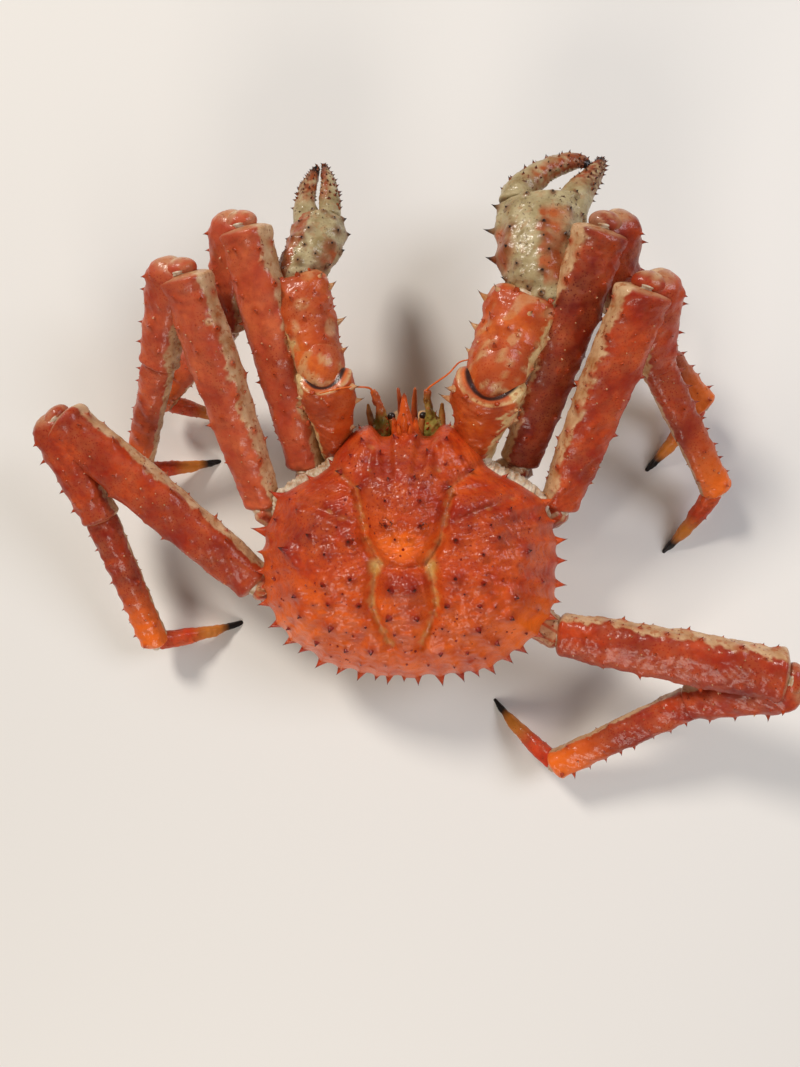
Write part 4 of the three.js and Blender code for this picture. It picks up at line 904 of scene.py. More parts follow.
# One leg from its joints: five pieces with their thorns, and the skin between them.
def makeLeg(leg, joints):
    root, hip, knee, bend, ankle, toe = (np.array(spot, float) for spot in joints)
    sign = 1 if leg.endswith("left") else -1
    upper, lower = unit(knee - hip), unit(ankle - knee)
    hinge = unit(np.cross(upper, lower))
    kneeOut = unit(np.cross(upper, hinge))
    seed = 100 * int(leg[3]) + (0 if sign > 0 else 50)
    # the pale side faces the middle of the body on the front legs and forward on the last pair
    toward = (-sign, -0.15, -0.85) if leg[3] in "23" else (sign * 0.1, -1.0, -0.75)
    stripe = (toward, 104 if leg[3] in "23" else 96, 7)

    def outOf(start, end):
        return unit(np.cross(end - start, hinge))

    def length(name, start, end, outward, extra, sections, more):
        size = float(np.linalg.norm(end - start))
        limb = {"origin": start, "axes": limbAxes(start, end, outward), "length": size + extra,
                "sections": sections, "rows": 150, "cols": 96, "seed": seed, "pale": stripe, **more}
        finish = toeHorn if name == "dactylus" else legFinish.get(leg, limbRed)
        parts = limbParts(limb)
        if name == "dactylus":
            for part in parts:
                part["spots"][:, 2] = np.maximum(part["spots"][:, 2], 0.02)
        buildPiece(f"{leg}_{name}_shell", parts, finish, [f"{leg}_{name}"])

    length("base", root, hip, np.array([0, 0, 1.0]), 5, legShape["base"], {
        "rows": 80, "cols": 72, "startRound": 8, "endRound": 4, "sown": 8, "sownSize": (0.8, 1.2),
        "seed": seed + 1,
        "streaks": 0.75, "wave": 0.6})
    length("merus", hip, knee, kneeOut, 0, legShape["slimMerus" if leg[3] in "23" else "broadMerus"], {
        "rows": 180, "startRound": 4, "endRound": 3.5, "rowSpines": legShape["merusSpines"], "sown": 46,
        "cuffs": lambda t: 0.6 * ease(0.975, 0.99, t) + 0.5 * ease(0.03, 0.0, t), "wave": 0.3,
        "seed": seed + 2,
        "collar": [[0.035, 0.02, 0.7], [0.965, 0.03, 1.7]]})
    # the near end of the carpus is a knob that turns in the merus end, with a wedge of skin above it
    kneeSpot = knee + 1.8 * upper - 1.8 * kneeOut
    carpusRoot = knee - legShape["kneeOffset"] * kneeOut + legShape["kneeReach"] * upper
    length("carpus", carpusRoot, bend, outOf(carpusRoot, bend), 5, legShape["carpus"], {
        "rows": 100, "startRound": 8, "endRound": 4, "rowSpines": legShape["carpusSpines"], "sown": 16,
        "seed": seed + 3, "cuffs": lambda t: 0.7 * ease(0.96, 0.99, t) + 0.55 * ease(0.1, 0.02, t),
        "joined": [jointSkinPart(kneeSpot, upper, legShape["kneeKnob"], seed, kneeOut, 0.0, 0.6, 0.3)],
        "collar": [[0.94, 0.03, 0.7]]})
    length("propodus", bend, ankle, outOf(bend, ankle), 4, legShape["propodus"], {
        "rows": 130, "cols": 80, "startRound": 4, "endRound": 4, "collar": [[0.95, 0.03, 0.6]],
        "rowSpines": legShape["propodusSpines"],
        "sown": 20, "sownSize": (0.6, 1.0), "seed": seed + 4, "pale": (stripe[0], 74, 7),
        "warm": lambda t: 0.85 * ease(0.45, 1.0, t)})
    tip = toe * [1, 1, 0] - [0, 0, legShape["toeSink"]]
    toeHinge = unit(np.cross(ankle - bend, tip - ankle))
    toeOut = unit(np.cross(tip - ankle, toeHinge))
    length("dactylus", ankle, tip, toeOut, 0, legShape["dactylus"], {
        "rows": 110, "cols": 56, "startRound": 4, "endRound": 1.4, "sown": 10, "sownSize": (0.45, 0.75),
        "sownSpan": (0.1, 0.5), "seed": seed + 5, "pale": None, "wave": 0.15, "pebble": 0.05,
        "warm": lambda t: ease(0.35, 0.6, t), "tip": lambda t: ease(0.62, 0.9, t), "ridge": 0.05})
    skins = {
        "hip": (hip + upper, upper),
        "knee": (knee + 0.6 * upper - 0.2 * kneeOut, upper),
        "bend": (bend + 1.5 * unit(bend - carpusRoot), unit(ankle - bend)),
        "ankle": (ankle + 1.2 * unit(ankle - bend), unit(tip - ankle)),
    }
    for name, (centre, along) in skins.items():
        skin = jointSkinPart(centre, along, legShape["skins"][name], seed)
        buildPiece(f"{leg}_{name}_skin", [skin], jointSkin)

for leg, joints in legJoints.items():
    makeLeg(leg, joints)
print("legs built")


armShape = {
    "joints": {
        "right": [[-20, -38, 38], [-34.9, -47.6, 50], [-46.7, -89.2, 92], [-65.5, -133.8, 90]],
        "left": [[20, -38, 38], [41.4, -47.7, 50], [44.1, -94.1, 92], [58.6, -147.5, 90]],
    },
    "scale": {"right": 1.0, "left": 0.8},
    "knob": [23.5, 16.8, 17.4],  # half lengths of the elbow's knob: along, high, wide
    "base": [[0, 12, 12], [1, 13, 13]],
    "merus": [[0, 10, 9.5], [0.4, 13.5, 13], [0.85, 17, 19.5], [1, 16, 19.5]],
    "carpus": [[0, 12.5, 13.5], [0.35, 16.5, 17.5], [0.8, 18, 19.5], [1, 16, 18.5]],
    # share of the length, angle from the top toward the other claw, radius, height
    "merusSpines": [
        [0.5, 70, 2.7, 5], [0.72, 82, 3, 7.5], [0.9, 62, 3, 7.5], [0.82, 8, 2.1, 3.8], [0.6, -30, 1.8, 2.4],
        [0.88, -55, 2.7, 5], [0.66, 35, 2.1, 3.8], [0.4, 20, 1.6, 2.4], [0.35, -10, 1.6, 2.2],
        [0.75, -75, 2, 3.6],
        [0.93, 30, 1.8, 3.2], [0.94, -20, 1.8, 3.2],
    ],
    "carpusSpines": [
        [0.22, 76, 2.7, 5], [0.48, 84, 3, 7.5], [0.78, 74, 3, 7.5], [0.33, 22, 2.1, 3.8],
        [0.6, 38, 2.1, 3.8],
        [0.72, -14, 2.1, 3.8], [0.45, -48, 1.8, 2.4], [0.86, 48, 2.7, 5], [0.85, -60, 2.1, 3.8],
        [0.5, 5, 1.8, 3],
        [0.2, -20, 1.7, 2.6], [0.9, 12, 2, 3.6], [0.65, -75, 2, 3.4], [0.3, -70, 1.9, 3],
        [0.93, -35, 1.8, 3],
    ],
}
palmShape = {
    # tallest: the highest thorn of a palm; fields: its orange fields, each with middle and half width as
    # shares of the palm's half width, first and last mm
    "right": {
        "origin": [-74.8, -127.3, 89], "pitch": -10.3, "inward": 1, "tallest": 9,
        "fields": [[-0.24, 0.27, 12, 56], [1.04, 0.16, 24, 52]],
        "sections": [[-2, -5, 9, 11], [8, -3, 13, 15], [20, -0.5, 19.5, 18], [37, 0.8, 22.6, 19.5],
                     [55, -0.2, 23.6, 18.5], [66, -1.8, 24, 16], [72, -6, 19, 13]],
        "fixed": [[58, -14, 0, 12], [72, -21, 0, 9], [82, -28, 0, 6.5], [90, -33.5, 0, 4],
                  [95, -34.5, 0, 1.8]],
        "moving": [[66, 13, 1, 10.5], [76, 10, 1.5, 9], [86, -1.5, 2, 6.8], [91.5, -13.5, 2, 5.4],
                   [92.5, -23, 1.5, 3.8],
                   [89, -29, 1, 1.6]],
    },
    "left": {
        "origin": [53.1, -146, 89], "pitch": -12, "inward": -1, "tallest": 2.2,
        "fields": [[-0.6, 0.34, -2, 50], [0.9, 0.13, 10, 24]],
        "sections": [[-2, -11, 8, 9], [6, -8, 12, 12], [14, -4, 15, 13.5], [24, 0.5, 16, 14],
                     [33, 3.5, 15.2, 13], [42, 4, 13, 11], [47, 3.5, 10, 9]],
        "fixed": [[36, -2, 0, 9], [50, -4.6, 0, 6.8], [61, -4.4, 0, 5.2], [71, -1.6, 0, 3.4],
                  [78, 1.6, 0, 1.3]],
        "moving": [[43, 9.5, 1, 6.4], [53, 9.4, 1, 6], [63, 8.6, 1, 4.8], [72, 6.6, 0.8, 3],
                   [78.5, 4.8, 0.5, 1.3]],
    },
    # share of the length, angle from the other claw's side toward the top, radius, height
    "palmSpines": [
        [0.9, 12, 2.7, 4.4], [0.74, 0, 3.1, 7.2], [0.5, 0, 3.1, 7], [0.3, 10, 2.2, 3.6],
        [0.84, 40, 2.0, 1.5],
        [0.66, 44, 2.7, 1.9], [0.49, 46, 2.9, 1.9], [0.35, 50, 2.0, 1.4], [0.2, 44, 1.7, 1.6],
        [0.64, 92, 2.8, 2.0],
        [0.53, 97, 2.5, 1.9], [0.44, 94, 1.9, 1.5], [0.27, 88, 2.2, 1.5], [0.78, 122, 2.2, 1.6],
        [0.56, 128, 2.3, 1.7],
        [0.4, 126, 1.8, 1.4], [0.9, 66, 1.7, 1.3], [0.92, 100, 1.6, 1.2], [0.8, 150, 1.8, 2],
        [0.62, 155, 1.8, 2],
        [0.12, 70, 1.8, 1.5], [0.16, 115, 1.7, 1.4], [0.93, 135, 1.8, 1.6],
    ],
    # rows of spinelets on the fingers: angle, count, radius, height, first and last share
    "fixedRows": [[172, 9, 1.3, 2.2, 0.3, 0.97], [135, 9, 1.2, 1.8, 0.35, 0.98],
                  [98, 8, 1.1, 1.6, 0.4, 0.97],
                  [55, 9, 1.2, 1.9, 0.35, 0.98]],
    "movingRows": [[8, 10, 1.4, 2.2, 0.15, 0.97], [42, 9, 1.3, 1.9, 0.2, 0.98],
                   [78, 8, 1.2, 1.6, 0.25, 0.97],
                   [125, 8, 1.2, 1.8, 0.35, 0.98]],
}


# Rows of spinelets along a bent horn, in its own axes; each row keeps one angle round the horn.
def alongHorn(points, rowTable, inward, axes, origin, scale=1.0, seed=1):
    rng = np.random.default_rng(seed)
    table = np.concatenate([
        np.column_stack([np.linspace(low, high, int(count)) + rng.uniform(-0.02, 0.02, int(count)),
                         np.full(int(count), angle) + rng.uniform(-9, 9, int(count)),
                         np.linspace(1.15, 0.75, int(count)) * radius * scale,
                         np.linspace(1.1, 0.85, int(count)) * height * scale])
        for angle, count, radius, height, low, high in rowTable])
    curve = hornRows(points, 200, 8)
    row = np.clip((table[:, 0] * 199).astype(int), 0, 199)
    degrees = table[:, 1] if inward > 0 else 180 - table[:, 1]
    angle = np.radians(degrees + rng.uniform(-5, 5, len(table)))
    # the horn's own side vector points to -Y or +Y of the palm, so angles are taken from +Y
    side = curve[4][row] * np.sign(curve[4][row][:, 1:2])
    up = np.cross(curve[3][row], side)
    up = up * np.sign(up[:, 2:3])
    out = side * np.cos(angle)[:, None] + up * np.sin(angle)[:, None]
    feet = curve[6][row, :3] + out * curve[6][row, 3:4]
    along = curve[3][row]
    wobbled = rng.uniform(0.85, 1.15, len(table))
    part = spinePart(origin + feet @ axes, out @ axes, table[:, 2] * wobbled, table[:, 3] * wobbled,
                     (along * 0.35) @ axes)
    part["marks"]["mound"] *= 0.8
    return part


# Teeth on the biting edge of a finger: low white knobs set side by side.
def fingerTeeth(points, sideSign, axes, origin, count, size, span):
    curve = hornRows(points, 200, 8)
    share = np.linspace(*span, count)
    row = (share * 199).astype(int)
    side = curve[4][row] * np.sign(curve[4][row][:, 1:2]) * sideSign
    radius = size * (1 - 0.5 * (share - span[0]) / (span[1] - span[0]))
    feet = curve[6][row, :3] + side * (curve[6][row, 3:4] * 0.93)
    part = spinePart(origin + feet @ axes, side @ axes, radius, radius * 0.95, side * 0, pale=1.0)
    part["marks"]["tip"] *= 0.2
    part["marks"]["mound"] *= 0
    return part


# A finger: a horn pushed out by wobbles and grains; its marks come from one function.
def clawHorn(points, axes, origin, rows, cols, marksOf, seed):
    spots, t = hornRows(points, rows, cols)[:2]
    middle = spots.mean(1, keepdims=True)
    push = 0.35 * wobble(spots, 8, seed) + 0.2 * grains(spots, 2.2, seed) + 0.15 * wobble(spots, 3, seed + 1)
    spots = spots + unit(spots - middle) * push[..., None]
    facing = unit(spots - middle)
    return skinPart(origin + spots @ axes, marksOf(t, facing, spots))

# One claw arm from its joints: three arm pieces, the palm with its fixed finger, the moving finger, and
# the skin between them.
def makeClaw(side):
    factor = armShape["scale"][side]
    root, shoulder, elbow, wrist = (np.array(spot, float) for spot in armShape["joints"][side])
    upperWay, foreWay = unit(elbow - shoulder), unit(wrist - elbow)
    sign = 1 if side == "left" else -1
    up = np.array([0, 0, 1.0])
    seed = 700 if side == "left" else 800

    def scaled(table, by):
        return [[t, high * by, wide * by] for t, high, wide in table]

    def length(name, start, end, extra, sections, thorns, more):
        limb = {"origin": start, "axes": limbAxes(start, end, up), "sections": sections, "seed": seed,
                "length": float(np.linalg.norm(end - start)) + extra, "pale": ((0, 0, -1), 80, 8),
                "rows": 130, "cols": 110, "startRound": 8, "endRound": 9, "sown": 0, **more}
        toOther = limb["axes"] @ np.array([-sign, 0.0, 0.0])
        turn = 1 if toOther[2] > 0 else -1
        flip = 1 if (limb["axes"] @ up)[2] > 0 else -1
        limb["rowSpines"] = [[t, turn * flip * degrees, r * (0.7 + 0.3 * factor), h * factor]
                             for t, degrees, r, h in thorns]
        buildPiece(f"claw_{side}_{name}_shell", limbParts(limb), armOrange,
                   [f"claw_{side}_{name}"])

    length("base", root, shoulder, 6, scaled(armShape["base"], factor ** 0.5), [], {
        "rows": 70, "cols": 72, "endRound": 5, "sown": 6, "streaks": 0.85})
    length("merus", shoulder, elbow, 5, scaled(armShape["merus"], factor), armShape["merusSpines"], {
        # the dark line at the merus's far edge is painted shade of the gap round the elbow
        "sown": 26, "seed": seed + 1, "endRound": 3.5, "lobes": 3.6 * factor, "rimShadeLine": 0.985,
        "bigPale": 1.5, "pale": ((sign * 0.8, 0.1, -0.8), 84 if side == "right" else 70, 9), "ridge": 0.0})
    knob = jointSkinPart(elbow + 15 * factor * foreWay, foreWay, np.array(armShape["knob"]) * factor, seed,
                         up, 0.0, 0.0, 0.5)
    length("carpus", elbow, wrist, 7, scaled(armShape["carpus"], factor), armShape["carpusSpines"], {
        "sown": 34, "seed": seed + 2, "startRound": 8 * factor, "endRound": 6, "bigPale": 1.5,
        "lobes": 2.4 * factor, "cuffs": lambda t: 0.7 * ease(0.95, 0.99, t), "patches": 0.35,
        "pale": ((sign * 0.75, 0.1, -1), 84, 9), "ridge": 0.0, "wave": 0.6, "joined": [knob]})
    skins = {
        "shoulder": (shoulder + upperWay, upperWay, (7, 12 * factor, 12 * factor)),
        "elbow": (elbow - 2.5 * upperWay, upperWay, (3, 10 * factor, 11.5 * factor)),
        "wrist": (wrist + 3 * foreWay, foreWay, (7, 9.2 * factor, 9.2 * factor)),
    }
    for name, (centre, along, radii) in skins.items():
        skin = jointSkinPart(centre, along, radii, seed)
        buildPiece(f"claw_{side}_{name}_skin", [skin], jointSkin)

    palm = palmShape[side]
    inward = palm["inward"]
    pitch = math.radians(palm["pitch"])
    along = np.array([0, -math.cos(pitch), math.sin(pitch)])
    sideways = np.array([1.0, 0, 0])
    axes = np.array([along, sideways, np.cross(along, sideways)])
    origin = np.array(palm["origin"], float)
    first, last = palm["sections"][0][0], palm["sections"][-1][0]
    reach = last - first
    sections = [[(x - first) / reach, wide, deep, middle * inward] for x, middle, wide,
                deep in palm["sections"]]
    limb = {"origin": origin, "axes": axes, "length": reach, "first": first, "sections": sections,
            "rows": 150, "cols": 140, "seed": seed + 3, "startRound": 8, "endRound": 7, "wave": 0.6,
            "pebble": 0.3, "sown": 90, "sownSize": (0.4, 0.75), "ridge": 0.0, "halo": 1.4}
    limb["rowSpines"] = [[t, degrees if inward > 0 else 180 - degrees, r * (0.6 + 0.4 * factor),
                          min(h * factor, palm["tallest"])] for t, degrees, r, h in palmShape["palmSpines"]]
    parts = limbParts(limb)
    widths = between(palm["sections"], np.linspace(first, last, 80))
    for part in parts:
        local = (part["spots"] - origin) @ axes.T
        middle = np.interp(local[:, 0], widths[:, 0], widths[:, 1])
        wide = np.interp(local[:, 0], widths[:, 0], widths[:, 2])
        across = (local[:, 1] * inward - middle) / wide + 0.07 * wobble(local, 11, seed) \
            + 0.03 * wobble(local, 4, seed + 1)
        orange = 0 * across
        for centre, half, low, high in palm["fields"]:
            # sharp toward the other claw, fading away from it
            off = across - centre
            field = ease(half + 0.07, half - 0.05, off) * ease(-half - 0.35, -half + 0.15, off) \
                * ease(low - 3, low + 5, local[:, 0]) * ease(high + 3, high - 5, local[:, 0])
            orange = np.maximum(orange, field)
        orange = orange * ease(-6, 2, local[:, 2])
        part["marks"]["pale"] = np.clip(1 - orange * (0.95 + 0.25 * wobble(local, 6, seed + 2)), 0, 1)

    # the fixed finger's outer side darkens to purplish brown, its inner side is streaked with orange
    def fixedMarks(t, facing, spots):
        pale = 1 - 0.85 * ease(0.2, 0.45, t) * ease(0.92, 0.8, t) * ease(-0.3, 0.35,
                facing[..., 1] * inward) \
            * ease(-0.4, 0.2, facing[..., 2]) * (0.8 + 0.4 * wobble(spots, 4, seed))
        warm = ease(0.2, 0.45, t) * ease(-0.55, 0.1, -facing[..., 1] * inward) \
            * (0.6 + 0.5 * wobble(spots, 2.4, seed)) + ease(0.66, 0.92, t) * 0.8
        warm = np.clip(warm, 0, 1)
        return {"pale": np.clip(pale - 0.9 * warm, 0, 1), "warm": warm, "mound": 0.4 * ease(0.4, 0.9, t),
                "tip": 0.85 * ease(0.7, 0.93, t)}

    # the moving finger is streaked on its inner side and darkens toward its end
    def movingMarks(t, facing, spots):
        pale = 1 - 0.85 * ease(0.15, 0.4, t) * ease(0.92, 0.8, t) * ease(-0.45, 0.2,
                -facing[..., 1] * inward) \
            * ease(-0.4, 0.2, facing[..., 2]) * (0.8 + 0.4 * wobble(spots, 4, seed))
        warm = ease(0.3, 0.9, t) * (0.35 + 0.4 * wobble(spots, 4, seed + 1)) + ease(0.72, 0.95, t) * 0.8
        warm = np.clip(warm, 0, 1)
        return {"pale": np.clip(pale - 0.9 * warm, 0, 1), "warm": warm, "mound": 0.35 * ease(0.4, 0.9, t),
                "tip": 0.85 * ease(0.76, 0.95, t)}

    fixed, moving = ([[x, y * inward, z, size] for x, y, z, size in palm[key]] for key in ("fixed",
            "moving"))
    thickness = 0.5 + 0.5 * factor
    parts.append(clawHorn(fixed, axes, origin, 90, 48, fixedMarks, seed + 5))
    parts.append(alongHorn(fixed, palmShape["fixedRows"], inward, axes, origin, thickness, seed + 6))
    parts.append(fingerTeeth(fixed, inward, axes, origin, 10, 1.8 * factor, (0.4, 0.96)))
    buildPiece(f"claw_{side}_palm_shell", parts, clawCream, [f"claw_{side}_palm"])
    parts = [clawHorn(moving, axes, origin, 120, 52, movingMarks, seed + 7),
             alongHorn(moving, palmShape["movingRows"], inward, axes, origin, thickness, seed + 8),
             fingerTeeth(moving, -inward, axes, origin, 12, 1.9 * factor, (0.38, 0.96))]
    buildPiece(f"claw_{side}_finger_shell", parts, clawCream, [f"claw_{side}_finger"])

for side in ("left", "right"):
    makeClaw(side)
print("claws built")


trunkShape = {
    "outline": [[0, -58], [16, -56], [30, -46], [44, -34], [56, -10], [58, 10], [52, 35], [40, 52], [20, 61],
                [0, 63]],
    "rings": [[0, 0, 0], [0.3, 1, 0], [0.4, 1, -6], [0.5, 0.9, -16], [0.62, 0.76, -25], [0.75, 0.6, -40],
              [0.85, 0.3, -40], [1, 0, -40]],
    "belly": 20,
    "grooves": (38, 62, 88, 114, 140),  # between the belly's plates, degrees from the front
}


# The trunk hangs under the shell: its outline shrinks down a rounded wall to a flat belly with
# a groove between the plates of each pair of legs.
def makeTrunk():
    cols, rows = 220, 110
    angle = np.linspace(-math.pi, math.pi, cols, endpoint=False) + 0.001
    corners = np.array(trunkShape["outline"], float)
    turns, sizes = np.arctan2(corners[:, 0], -corners[:, 1]), np.hypot(corners[:, 0], corners[:, 1])
    offsets = np.radians(np.linspace(-5, 5, 9))
    reach = np.interp(np.abs((angle[:, None] + offsets + math.pi) % (2 * math.pi) - math.pi), turns,
                      sizes).mean(-1)
    share, fall = between(trunkShape["rings"], np.linspace(0, 1, rows))[:, 1:].T
    radius = share[:, None] * reach
    y = -radius * np.cos(angle)
    x = radius * np.sin(angle)
    z = np.maximum(trunkShape["belly"], rimAt(y) - 18.4 + fall[:, None])
    spots = np.stack([x, y, z], -1)
    low = ease(46, 30, z)
    for degrees in trunkShape["grooves"]:
        gap = np.abs(np.degrees(np.abs(angle)) - degrees) * np.radians(1) * radius
        spots[..., 2] += 1.6 * np.exp(-(gap / 1.6) ** 2) * low * ease(6, 14, radius)
    spots[..., 2] += 0.35 * wobble(spots, 8, 31) * low
    return skinPart(spots, {"pale": 0.35 + 0 * x, "mound": 0 * x})


flapShape = {
    "points": [[0, 70, 40, 4], [0, 66, 26, 5], [0, 50, 17.5, 5], [0, 25, 16, 4.5], [0, 0, 15.6, 4],
               [0, -20, 16, 3], [0, -28, 17, 2]],
    "widths": [[0, 30], [0.15, 31], [0.35, 28], [0.6, 21], [0.85, 12], [1, 7]],
    "plates": [0.12, 0.26, 0.4, 0.54, 0.68, 0.82],
}


# The tail flap is folded forward under the trunk: a flat curved tongue with a groove across at
# each joint and two along it, and rows of low knobs on its plates.
def makeFlap():
    rows, cols = 170, 120
    curve = hornRows(flapShape["points"], rows, 8)
    t = np.linspace(0, 1, rows)
    along = curve[3]
    up = unit(np.cross(along, [1.0, 0, 0]))
    around = np.linspace(0, 2 * math.pi, cols, endpoint=False)
    ends = np.sqrt(np.clip(1 - (1 - np.clip(t / 0.06, 0, 1)) ** 2, 0, 1)
                   * np.clip(1 - (1 - np.clip((1 - t) / 0.06, 0, 1)) ** 2, 0, 1))
    half = between(flapShape["widths"], t)[:, 1] * ends
    thick = curve[6][:, 3] * ends
    across = half[:, None] * np.cos(around)
    bulge = 1 + 0 * across
    for plate in flapShape["plates"]:
        bulge -= 0.3 * np.exp(-(((t[:, None] - plate) + 0.02 * np.cos(around) ** 2) / 0.009) ** 2)
    bulge -= 0.22 * np.exp(-((np.abs(across) - 0.45 * half[:, None]) / 1.1) ** 2)
    spots = curve[6][:, None, :3] + np.stack([across, 0 * across, 0 * across], -1) \
        + up[:, None] * (thick[:, None] * np.sin(around) * bulge)[..., None]
    knobs = grains(spots, 5.5, 12)
    spots = spots + up[:, None] * (np.sign(np.sin(around)) * (0.7 * knobs + 0.2 * wobble(spots, 6, 9))
                                   * np.abs(np.sin(around)) * ends[:, None])[..., None]
    return skinPart(spots, {"pale": 0.5 + 0 * across, "mound": 0.55 * knobs})


# Skin gathered under the shell's front side edges: a band along the outline with folds across it.
def edgeSkin(side):
    turns = np.radians(np.linspace(33, 78, 10))
    reach = shellReach(turns * side) * 0.985
    x, y = reach * np.sin(turns) * side, -reach * np.cos(turns)
    size = np.interp(np.degrees(turns), [33, 42, 60, 78], [3.4, 6.2, 6.6, 3.4])
    band = np.column_stack([x, y, rimAt(y) - 7, size])
    spots, t, around = hornRows(band, 150, 36, endShare=0.12)[:3]
    middle = spots.mean(1, keepdims=True)
    folds = 0.4 * np.sin(t * 120 + 3.5 * wobble(spots, 9, 77)) + 0.35 * wobble(spots, 3, 78)
    return skinPart(spots + unit(spots - middle) * folds[..., None], {"pale": 0 * t})


for name, side in (("left", 1), ("right", -1)):
    buildPiece(f"shell_edge_{name}_skin", [edgeSkin(side)], jointSkin)
buildPiece("thorax_shell", [makeTrunk()], bellyPale, ["thorax"])
buildPiece("abdomen_shell", [makeFlap()], bellyPale, ["abdomen"])
print("trunk built")


headShape = {
    # points of each horn, as on the crab's left: x, y, z, half size
    "stalk": [[6, -60, 66, 3.2], [7.5, -70, 68, 2.6], [9, -76.4, 69.4, 2.1]],
    "eye": [9.2, -77.6, 69.5], "eyeRadius": 2.3,
    "smallFeeler": [[3, -60, 60, 3], [3.4, -72, 62, 2.6], [4, -84, 68, 1.8], [5, -93, 76, 0.8]],
    "footJaw": [[9, -50, 40, 6], [9, -64, 44, 6.5], [8, -75, 48, 5.4], [7.6, -81, 42, 4], [6, -79, 33, 2.6]],
    # the left stem is orange from its knee on, the right one olive nearly to its end; the left feeler
    # runs over the arm; spinelets stand in rows of three: first place, then the step to the next
    "left": {
        "stem": [[15, -58, 62, 6], [15, -70, 66, 6], [15, -79, 71, 2.8], [18, -88, 75, 2.1],
                 [19.7, -91.5, 77, 1.8]],
        "oliveTo": 0.62,
        "scale": [[19, -70, 65, 3], [22, -78, 67, 2], [23, -85, 70, 0.8]],
        "whip": [[19.5, -89, 76, 0.8], [20, -91.5, 82, 0.6], [24.5, -90.5, 93, 0.5],
                 [33, -88.5, 101.5, 0.45], [45, -85, 105, 0.35]],
        "spinelets": [[20.8, -74, 66, 0.5, -3, 1], [20.3, -72.5, 65.5, 0.5, -3, 1],
                      [16, -74, 70, 0, -2, 0.3], [12, -70, 70.5, 0, -3, 0]],
    },
    "right": {
        "stem": [[15, -58, 62, 6], [15, -70, 66, 6], [13, -79, 71, 2.8], [12, -88, 75, 2.1],
                 [11.7, -91.5, 77, 1.8]],
        "oliveTo": 1.0,
        "scale": [[19, -70, 65, 3], [20, -78, 67, 2], [20, -85, 70, 0.8]],
        "whip": [[11.7, -89, 76, 0.8], [13, -92, 79, 0.6], [24, -98, 87, 0.5], [30, -103, 92, 0.45],
                 [36, -104, 96, 0.35]],
        "spinelets": [[19.6, -74, 66, 0, -3, 1], [19.3, -72.5, 65.5, 0, -3, 1],
                      [16, -74, 70, 0, -2, 0.3], [12, -70, 70.5, 0, -3, 0]],
    },
}

# One half of the head: an eye on its stalk, a feeler with its scale, a small feeler and a foot jaw.
def makeHead(name, side):
    shape = headShape[name]

    def still(value):
        return lambda t, around, spots: value + 0 * t

    def horn(points, rows, cols, marks, **more):
        return hornPart(mirrored(points, side), rows, cols, marks, **more)

    t = np.linspace(0, math.pi, 32)[:, None]
    around = np.linspace(0, 2 * math.pi, 32, endpoint=False)
    ball = np.stack([np.cos(t) + 0 * around, np.sin(t) * np.cos(around), np.sin(t) * np.sin(around)], -1)
    ball = ball * headShape["eyeRadius"] + np.array(headShape["eye"]) * [side, 1, 1]
    buildPiece(f"eye_{name}_ball", [skinPart(ball, {"pale": 0 * t + 0 * around})], eyeBlack,
               [f"eye_{name}"])
    stalk = horn(headShape["stalk"], 40, 28, {"pale": still(0.25), "mound": still(0.0)}, rough=0.12)
    buildPiece(f"eye_{name}_stalk", [stalk], feelerHorn)
    stemMarks = {"pale": lambda t, around, spots: ease(shape["oliveTo"], 0.4, t),
                 "mound": still(0.0), "tip": still(0.0), "warm": still(0.0)}
    scaleMarks = {"pale": still(0.5), "mound": still(0.3),
                  "tip": lambda t, around, spots: 0.6 * ease(0.85, 1, t)}
    whipMarks = {"pale": still(0.0), "mound": still(0.0), "warm": still(0.6)}
    parts = [horn(shape["stem"], 110, 44, stemMarks, rough=0.45),
             horn(shape["scale"], 36, 18, scaleMarks, rough=0.15),
             horn(shape["whip"], 120, 10, whipMarks, endShare=0.02)]
    rng = np.random.default_rng(60 + side)
    feet = np.array([[side * (x + k * dx), y + k * dy, z + k * dz]
                     for x, y, z, dx, dy, dz in shape["spinelets"] for k in range(3)])
    ways = rng.normal(size=(len(feet), 3)) * 0.4 + [side * 0.5, -0.8, 0.6]
    parts.append(spinePart(feet, ways, np.full(len(feet), 1.1), np.full(len(feet), 3.2), feet * 0, pale=0.3))
    buildPiece(f"antenna_{name}_horn", parts, feelerHorn, [f"antenna_{name}"])
    smallMarks = {"pale": still(0.0), "mound": still(0.2),
                  "tip": lambda t, around, spots: 0.5 * ease(0.6, 1, t)}
    smallFeeler = horn(headShape["smallFeeler"], 70, 20, smallMarks, rough=0.1)
    buildPiece(f"antennule_{name}_horn", [smallFeeler], feelerHorn, [f"antennule_{name}"])
    footJaw = horn(headShape["footJaw"], 90, 36, {"pale": still(0.4), "mound": still(0.0)}, rough=0.25)
    buildPiece(f"maxilliped_{name}_horn", [footJaw], bellyPale, [f"maxilliped_{name}"])

makeHead("left", 1)
makeHead("right", -1)
print("head built")


studio = {
    "floor": 3.0, "floorColour": "#e4e1dc", "world": 0.16,
    # soft lamps: place, size, power, colour
    "lamps": {
        "key": ((1.0, -1.35, 1.6), 0.5, 36, "#fff8ef"),
        "fill": ((-0.95, -0.3, 1.0), 0.6, 8, "#f2f5ff"),
        "rim": ((0.2, 1.2, 0.8), 0.6, 8, "#fff6ec"),
    },
}

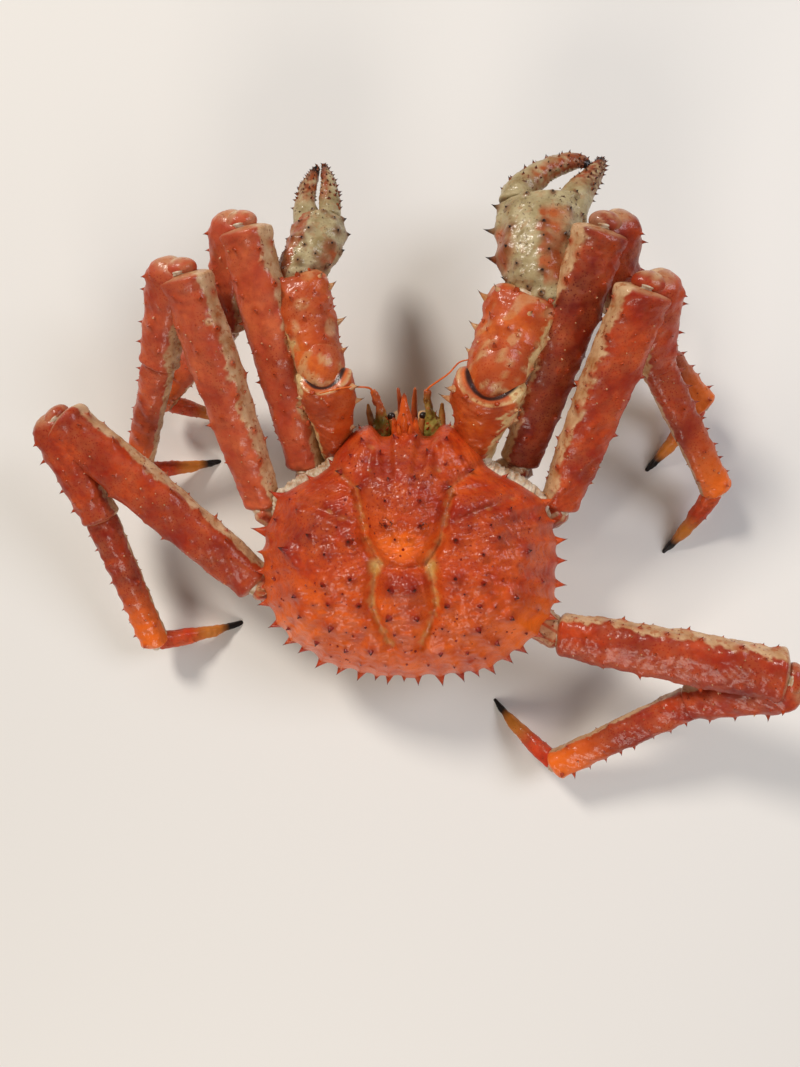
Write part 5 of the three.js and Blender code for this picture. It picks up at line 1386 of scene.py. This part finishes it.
floorMesh = bpy.data.meshes.new("studio_floor")
half = studio["floor"]
floorMesh.from_pydata([(-half, -half, 0), (half, -half, 0), (half, half, 0), (-half, half, 0)], [],
                      [(0, 1, 2, 3)])
floor = bpy.data.objects.new("studio_floor", floorMesh)
bpy.context.scene.collection.objects.link(floor)
floorPaper = bpy.data.materials.new("matt_paper")
floorPaper.use_nodes = True
paper = floorPaper.node_tree.nodes["Principled BSDF"]
paper.inputs["Base Color"].default_value = linear(studio["floorColour"])
paper.inputs["Roughness"].default_value = 0.9
floorMesh.materials.append(floorPaper)

bpy.context.scene.view_settings.view_transform = "Standard"
world = bpy.data.worlds.new("studio")
bpy.context.scene.world = world
world.use_nodes = True
world.node_tree.nodes["Background"].inputs["Color"].default_value = (1, 1, 1, 1)
world.node_tree.nodes["Background"].inputs["Strength"].default_value = studio["world"]


# A round soft lamp at a place, facing a target.
def addLamp(name, place, target, size, power, colour):
    lamp = bpy.data.lights.new(name, "AREA")
    lamp.shape = "DISK"
    lamp.size, lamp.energy, lamp.color = size, power, linear(colour)[:3]
    holder = bpy.data.objects.new(name, lamp)
    bpy.context.scene.collection.objects.link(holder)
    back = unit(np.array(place) - np.array(target))
    side = unit(np.cross([0.0, 1.0, 0.01], back))
    holder.matrix_world = Matrix(
        [[side[k], np.cross(back, side)[k], back[k], place[k]] for k in range(3)] + [[0, 0, 0, 1]])


for name, (place, size, power, colour) in studio["lamps"].items():
    addLamp(name, place, (0, 0, 0.05), size, power, colour)

# The camera looks down on the crab, rolled 5 degrees; its place is from the middle of the shell.
view = {"place": [-36.19, -9.58, 531.61], "roll": 5, "lens": 801 / 1067 * 36, "sensor": 36}
cameraPlace = (np.array(view["place"]) + shellMiddle) * 0.001
roll = math.radians(view["roll"])
lens = bpy.data.cameras.new("camera")
lens.lens = view["lens"]
lens.sensor_width = view["sensor"]
lens.clip_start = 0.01
camera = bpy.data.objects.new("camera", lens)
bpy.context.scene.collection.objects.link(camera)
across = (-math.cos(roll), 0, -math.sin(roll))
back = (-math.sin(roll), 0, math.cos(roll))
camera.matrix_world = Matrix([
    [across[0], 0, back[0], cameraPlace[0]], [0, -1, 0, cameraPlace[1]],
    [across[2], 0, back[2], cameraPlace[2]],
    [0, 0, 0, 1]])
bpy.context.scene.camera = camera
print("studio ready")
